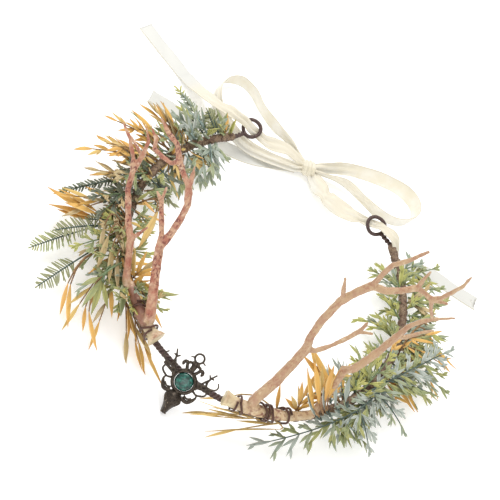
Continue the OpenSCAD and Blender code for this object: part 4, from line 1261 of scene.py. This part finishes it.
NIBS = [f"2.4 {RING_UP - 0.6} .9 .5, 4.6 {RING_UP - 1.4} .9 .35", ".9 -18.8 3.2 .5, 1.5 -19.3 2.4 .4"]
BEADS = rows_of("2.9 10.6 1.4 .9, 1.5 11.4 1.5 .8, 5.8 8.6 1.2 .95, 6.9 .2 1.3 .9, 9.2 2.4 1.3 .9")


def stroke(text, hand=1, steps=4):
    return [(on_plate(hand * r[0], *r[1:3]), r[3]) for r in smooth(rows_of(text), steps)]


def circle(radius, up, out, wire, count=40):
    angles = [2 * math.pi * i / count for i in range(count + 1)]
    return [(on_plate(radius * math.sin(a), up - radius * math.cos(a), out), wire) for a in angles]


# %% [markdown]
# The mask is a closed tube, laid ring by ring from the brow down to the muzzle. Each row of its table
# gives a ring's place, its half width and how high the ridge of the nose and the cheeks stand.

# %% Stag's mask
MASK = rows_of("""
    -6.8 3 2.6 .8, -8.4 4.4 3.3 1.3, -10.4 4.9 3.6 1.6, -12.4 4.2 3.8 1.4, -14.4 3.1 3.6 1.3
    -16.4 2.3 3.2 1.2, -18.2 1.9 2.8 1.1, -19.6 1.5 2 .7""")
MASK_SIDES = 24


def mask():
    rows = []
    for up, half, high, cheek in MASK:
        row = []
        for angle in around(MASK_SIDES):
            front = max(math.sin(angle), 0)
            z = 0.2 + (high * front ** 1.6 + cheek * front ** 0.5 if front else 0.9 * math.sin(angle))
            row.append(on_plate(half * math.cos(angle), up, max(z, -0.6)))
        rows.append(row)
    return laid("mask", rows, closed=True)


def bead(x, y, z, radius):
    obj = added(bpy.ops.mesh.primitive_uv_sphere_add, "bead", segments=16, ring_count=10, radius=radius * MM,
                location=on_plate(x, y, z) * MM)
    bpy.ops.object.transform_apply(location=True, rotation=True, scale=True)
    return obj


# %% Pendant
PENDANT_CELL, ROPE_R, ROPE_BEADS = 0.17, STONE_R + 1.35, 36

runs = [stroke(text, hand) for hand in (-1, 1) for text in FILIGREE]
runs += [stroke(text, hand, 2) for hand in (-1, 1) for text in NIBS]
runs += [stroke(text) for text in SPINE]
runs += [circle(RING_R, RING_UP, 0.9, 0.6), circle(STONE_R + 1.1, 0, 0.9, 1.0, 64),
         circle(STONE_R + 0.85, 0, 2.1, 0.5, 64)]
parts = [wires("strokes", runs, 3), mask(), bead(0, 10.4, 1.6, 1.3)]
parts += [bead(hand * x, y, z, radius) for hand in (-1, 1) for x, y, z, radius in BEADS]
parts += [bead(ROPE_R * math.sin(a), ROPE_R * math.cos(a), 1.6, 0.42)
          for a in np.linspace(0, 2 * math.pi, ROPE_BEADS + 1)[:-1]]
plate = joined("pendant_cast", *parts)
remeshed(plate, PENDANT_CELL, 2)
apply_all(plate)
bpy.ops.object.shade_smooth()

f = Finish("old_bronze")
worn = f.band_of(f.noise(1.2, 4.0) + 0.3 * f.noise(0.3, 2.0), 0.55, 0.85)
edge = f.band_of(f.node("ShaderNodeNewGeometry", {}, out="Pointiness"), 0.51, 0.58)
tone = f.ramp(f.noise(0.8, 4.0), (0.3, "#1E1A17"), (0.7, "#4A4038"))
tone = f.blend(edge * 0.7, tone, "#A3927C")
tone = f.blend(worn * 0.3, tone, "#6F6353")
BRONZE = f.shade(tone, 0.42 - 0.12 * edge, f.bump(f.noise(0.25, 3.0), 0.08, 0.6), Metallic=0.75)
done(plate, "bronze", "pendant", materials=[BRONZE])

# %% [markdown]
# ## Stone
# The cabochon is a low polished dome of green banded stone. A sphere primitive is flattened to the
# dome's height. Its finish mixes dark and light green in swirls, under a clear gloss coat.

# %% Stone
stone = added(bpy.ops.mesh.primitive_uv_sphere_add, "cabochon", segments=64, ring_count=32, radius=1.0)
for vert in stone.data.vertices:
    x, y, z = vert.co
    vert.co = on_plate(STONE_R * x, STONE_R * y, PLATE_T / 2 + 0.1 + (STONE_H * z if z > 0 else 0.1 * z)) * MM
bpy.ops.object.shade_smooth()
f = Finish("green_stone")
vein = f.waves({"wave_type": "RINGS"}, f.place(), 120.0, 14.0, Detail=3.0, Detail_Scale=1.4)
tone = f.ramp(f.noise(1.9, 4.0, rough=0.62), (0.3, "#062521"), (0.5, "#0E4A3F"), (0.68, "#2C7D6C"),
              (0.85, "#6FB3A0"))
tone = f.blend(f.band_of(vein, 0.55, 0.9) * 0.45, tone, "#0A302B")
STONE = f.shade(tone, 0.25, Coat_Weight=0.3, Coat_Roughness=0.08)
done(stone, "gem", "stone", materials=[STONE])
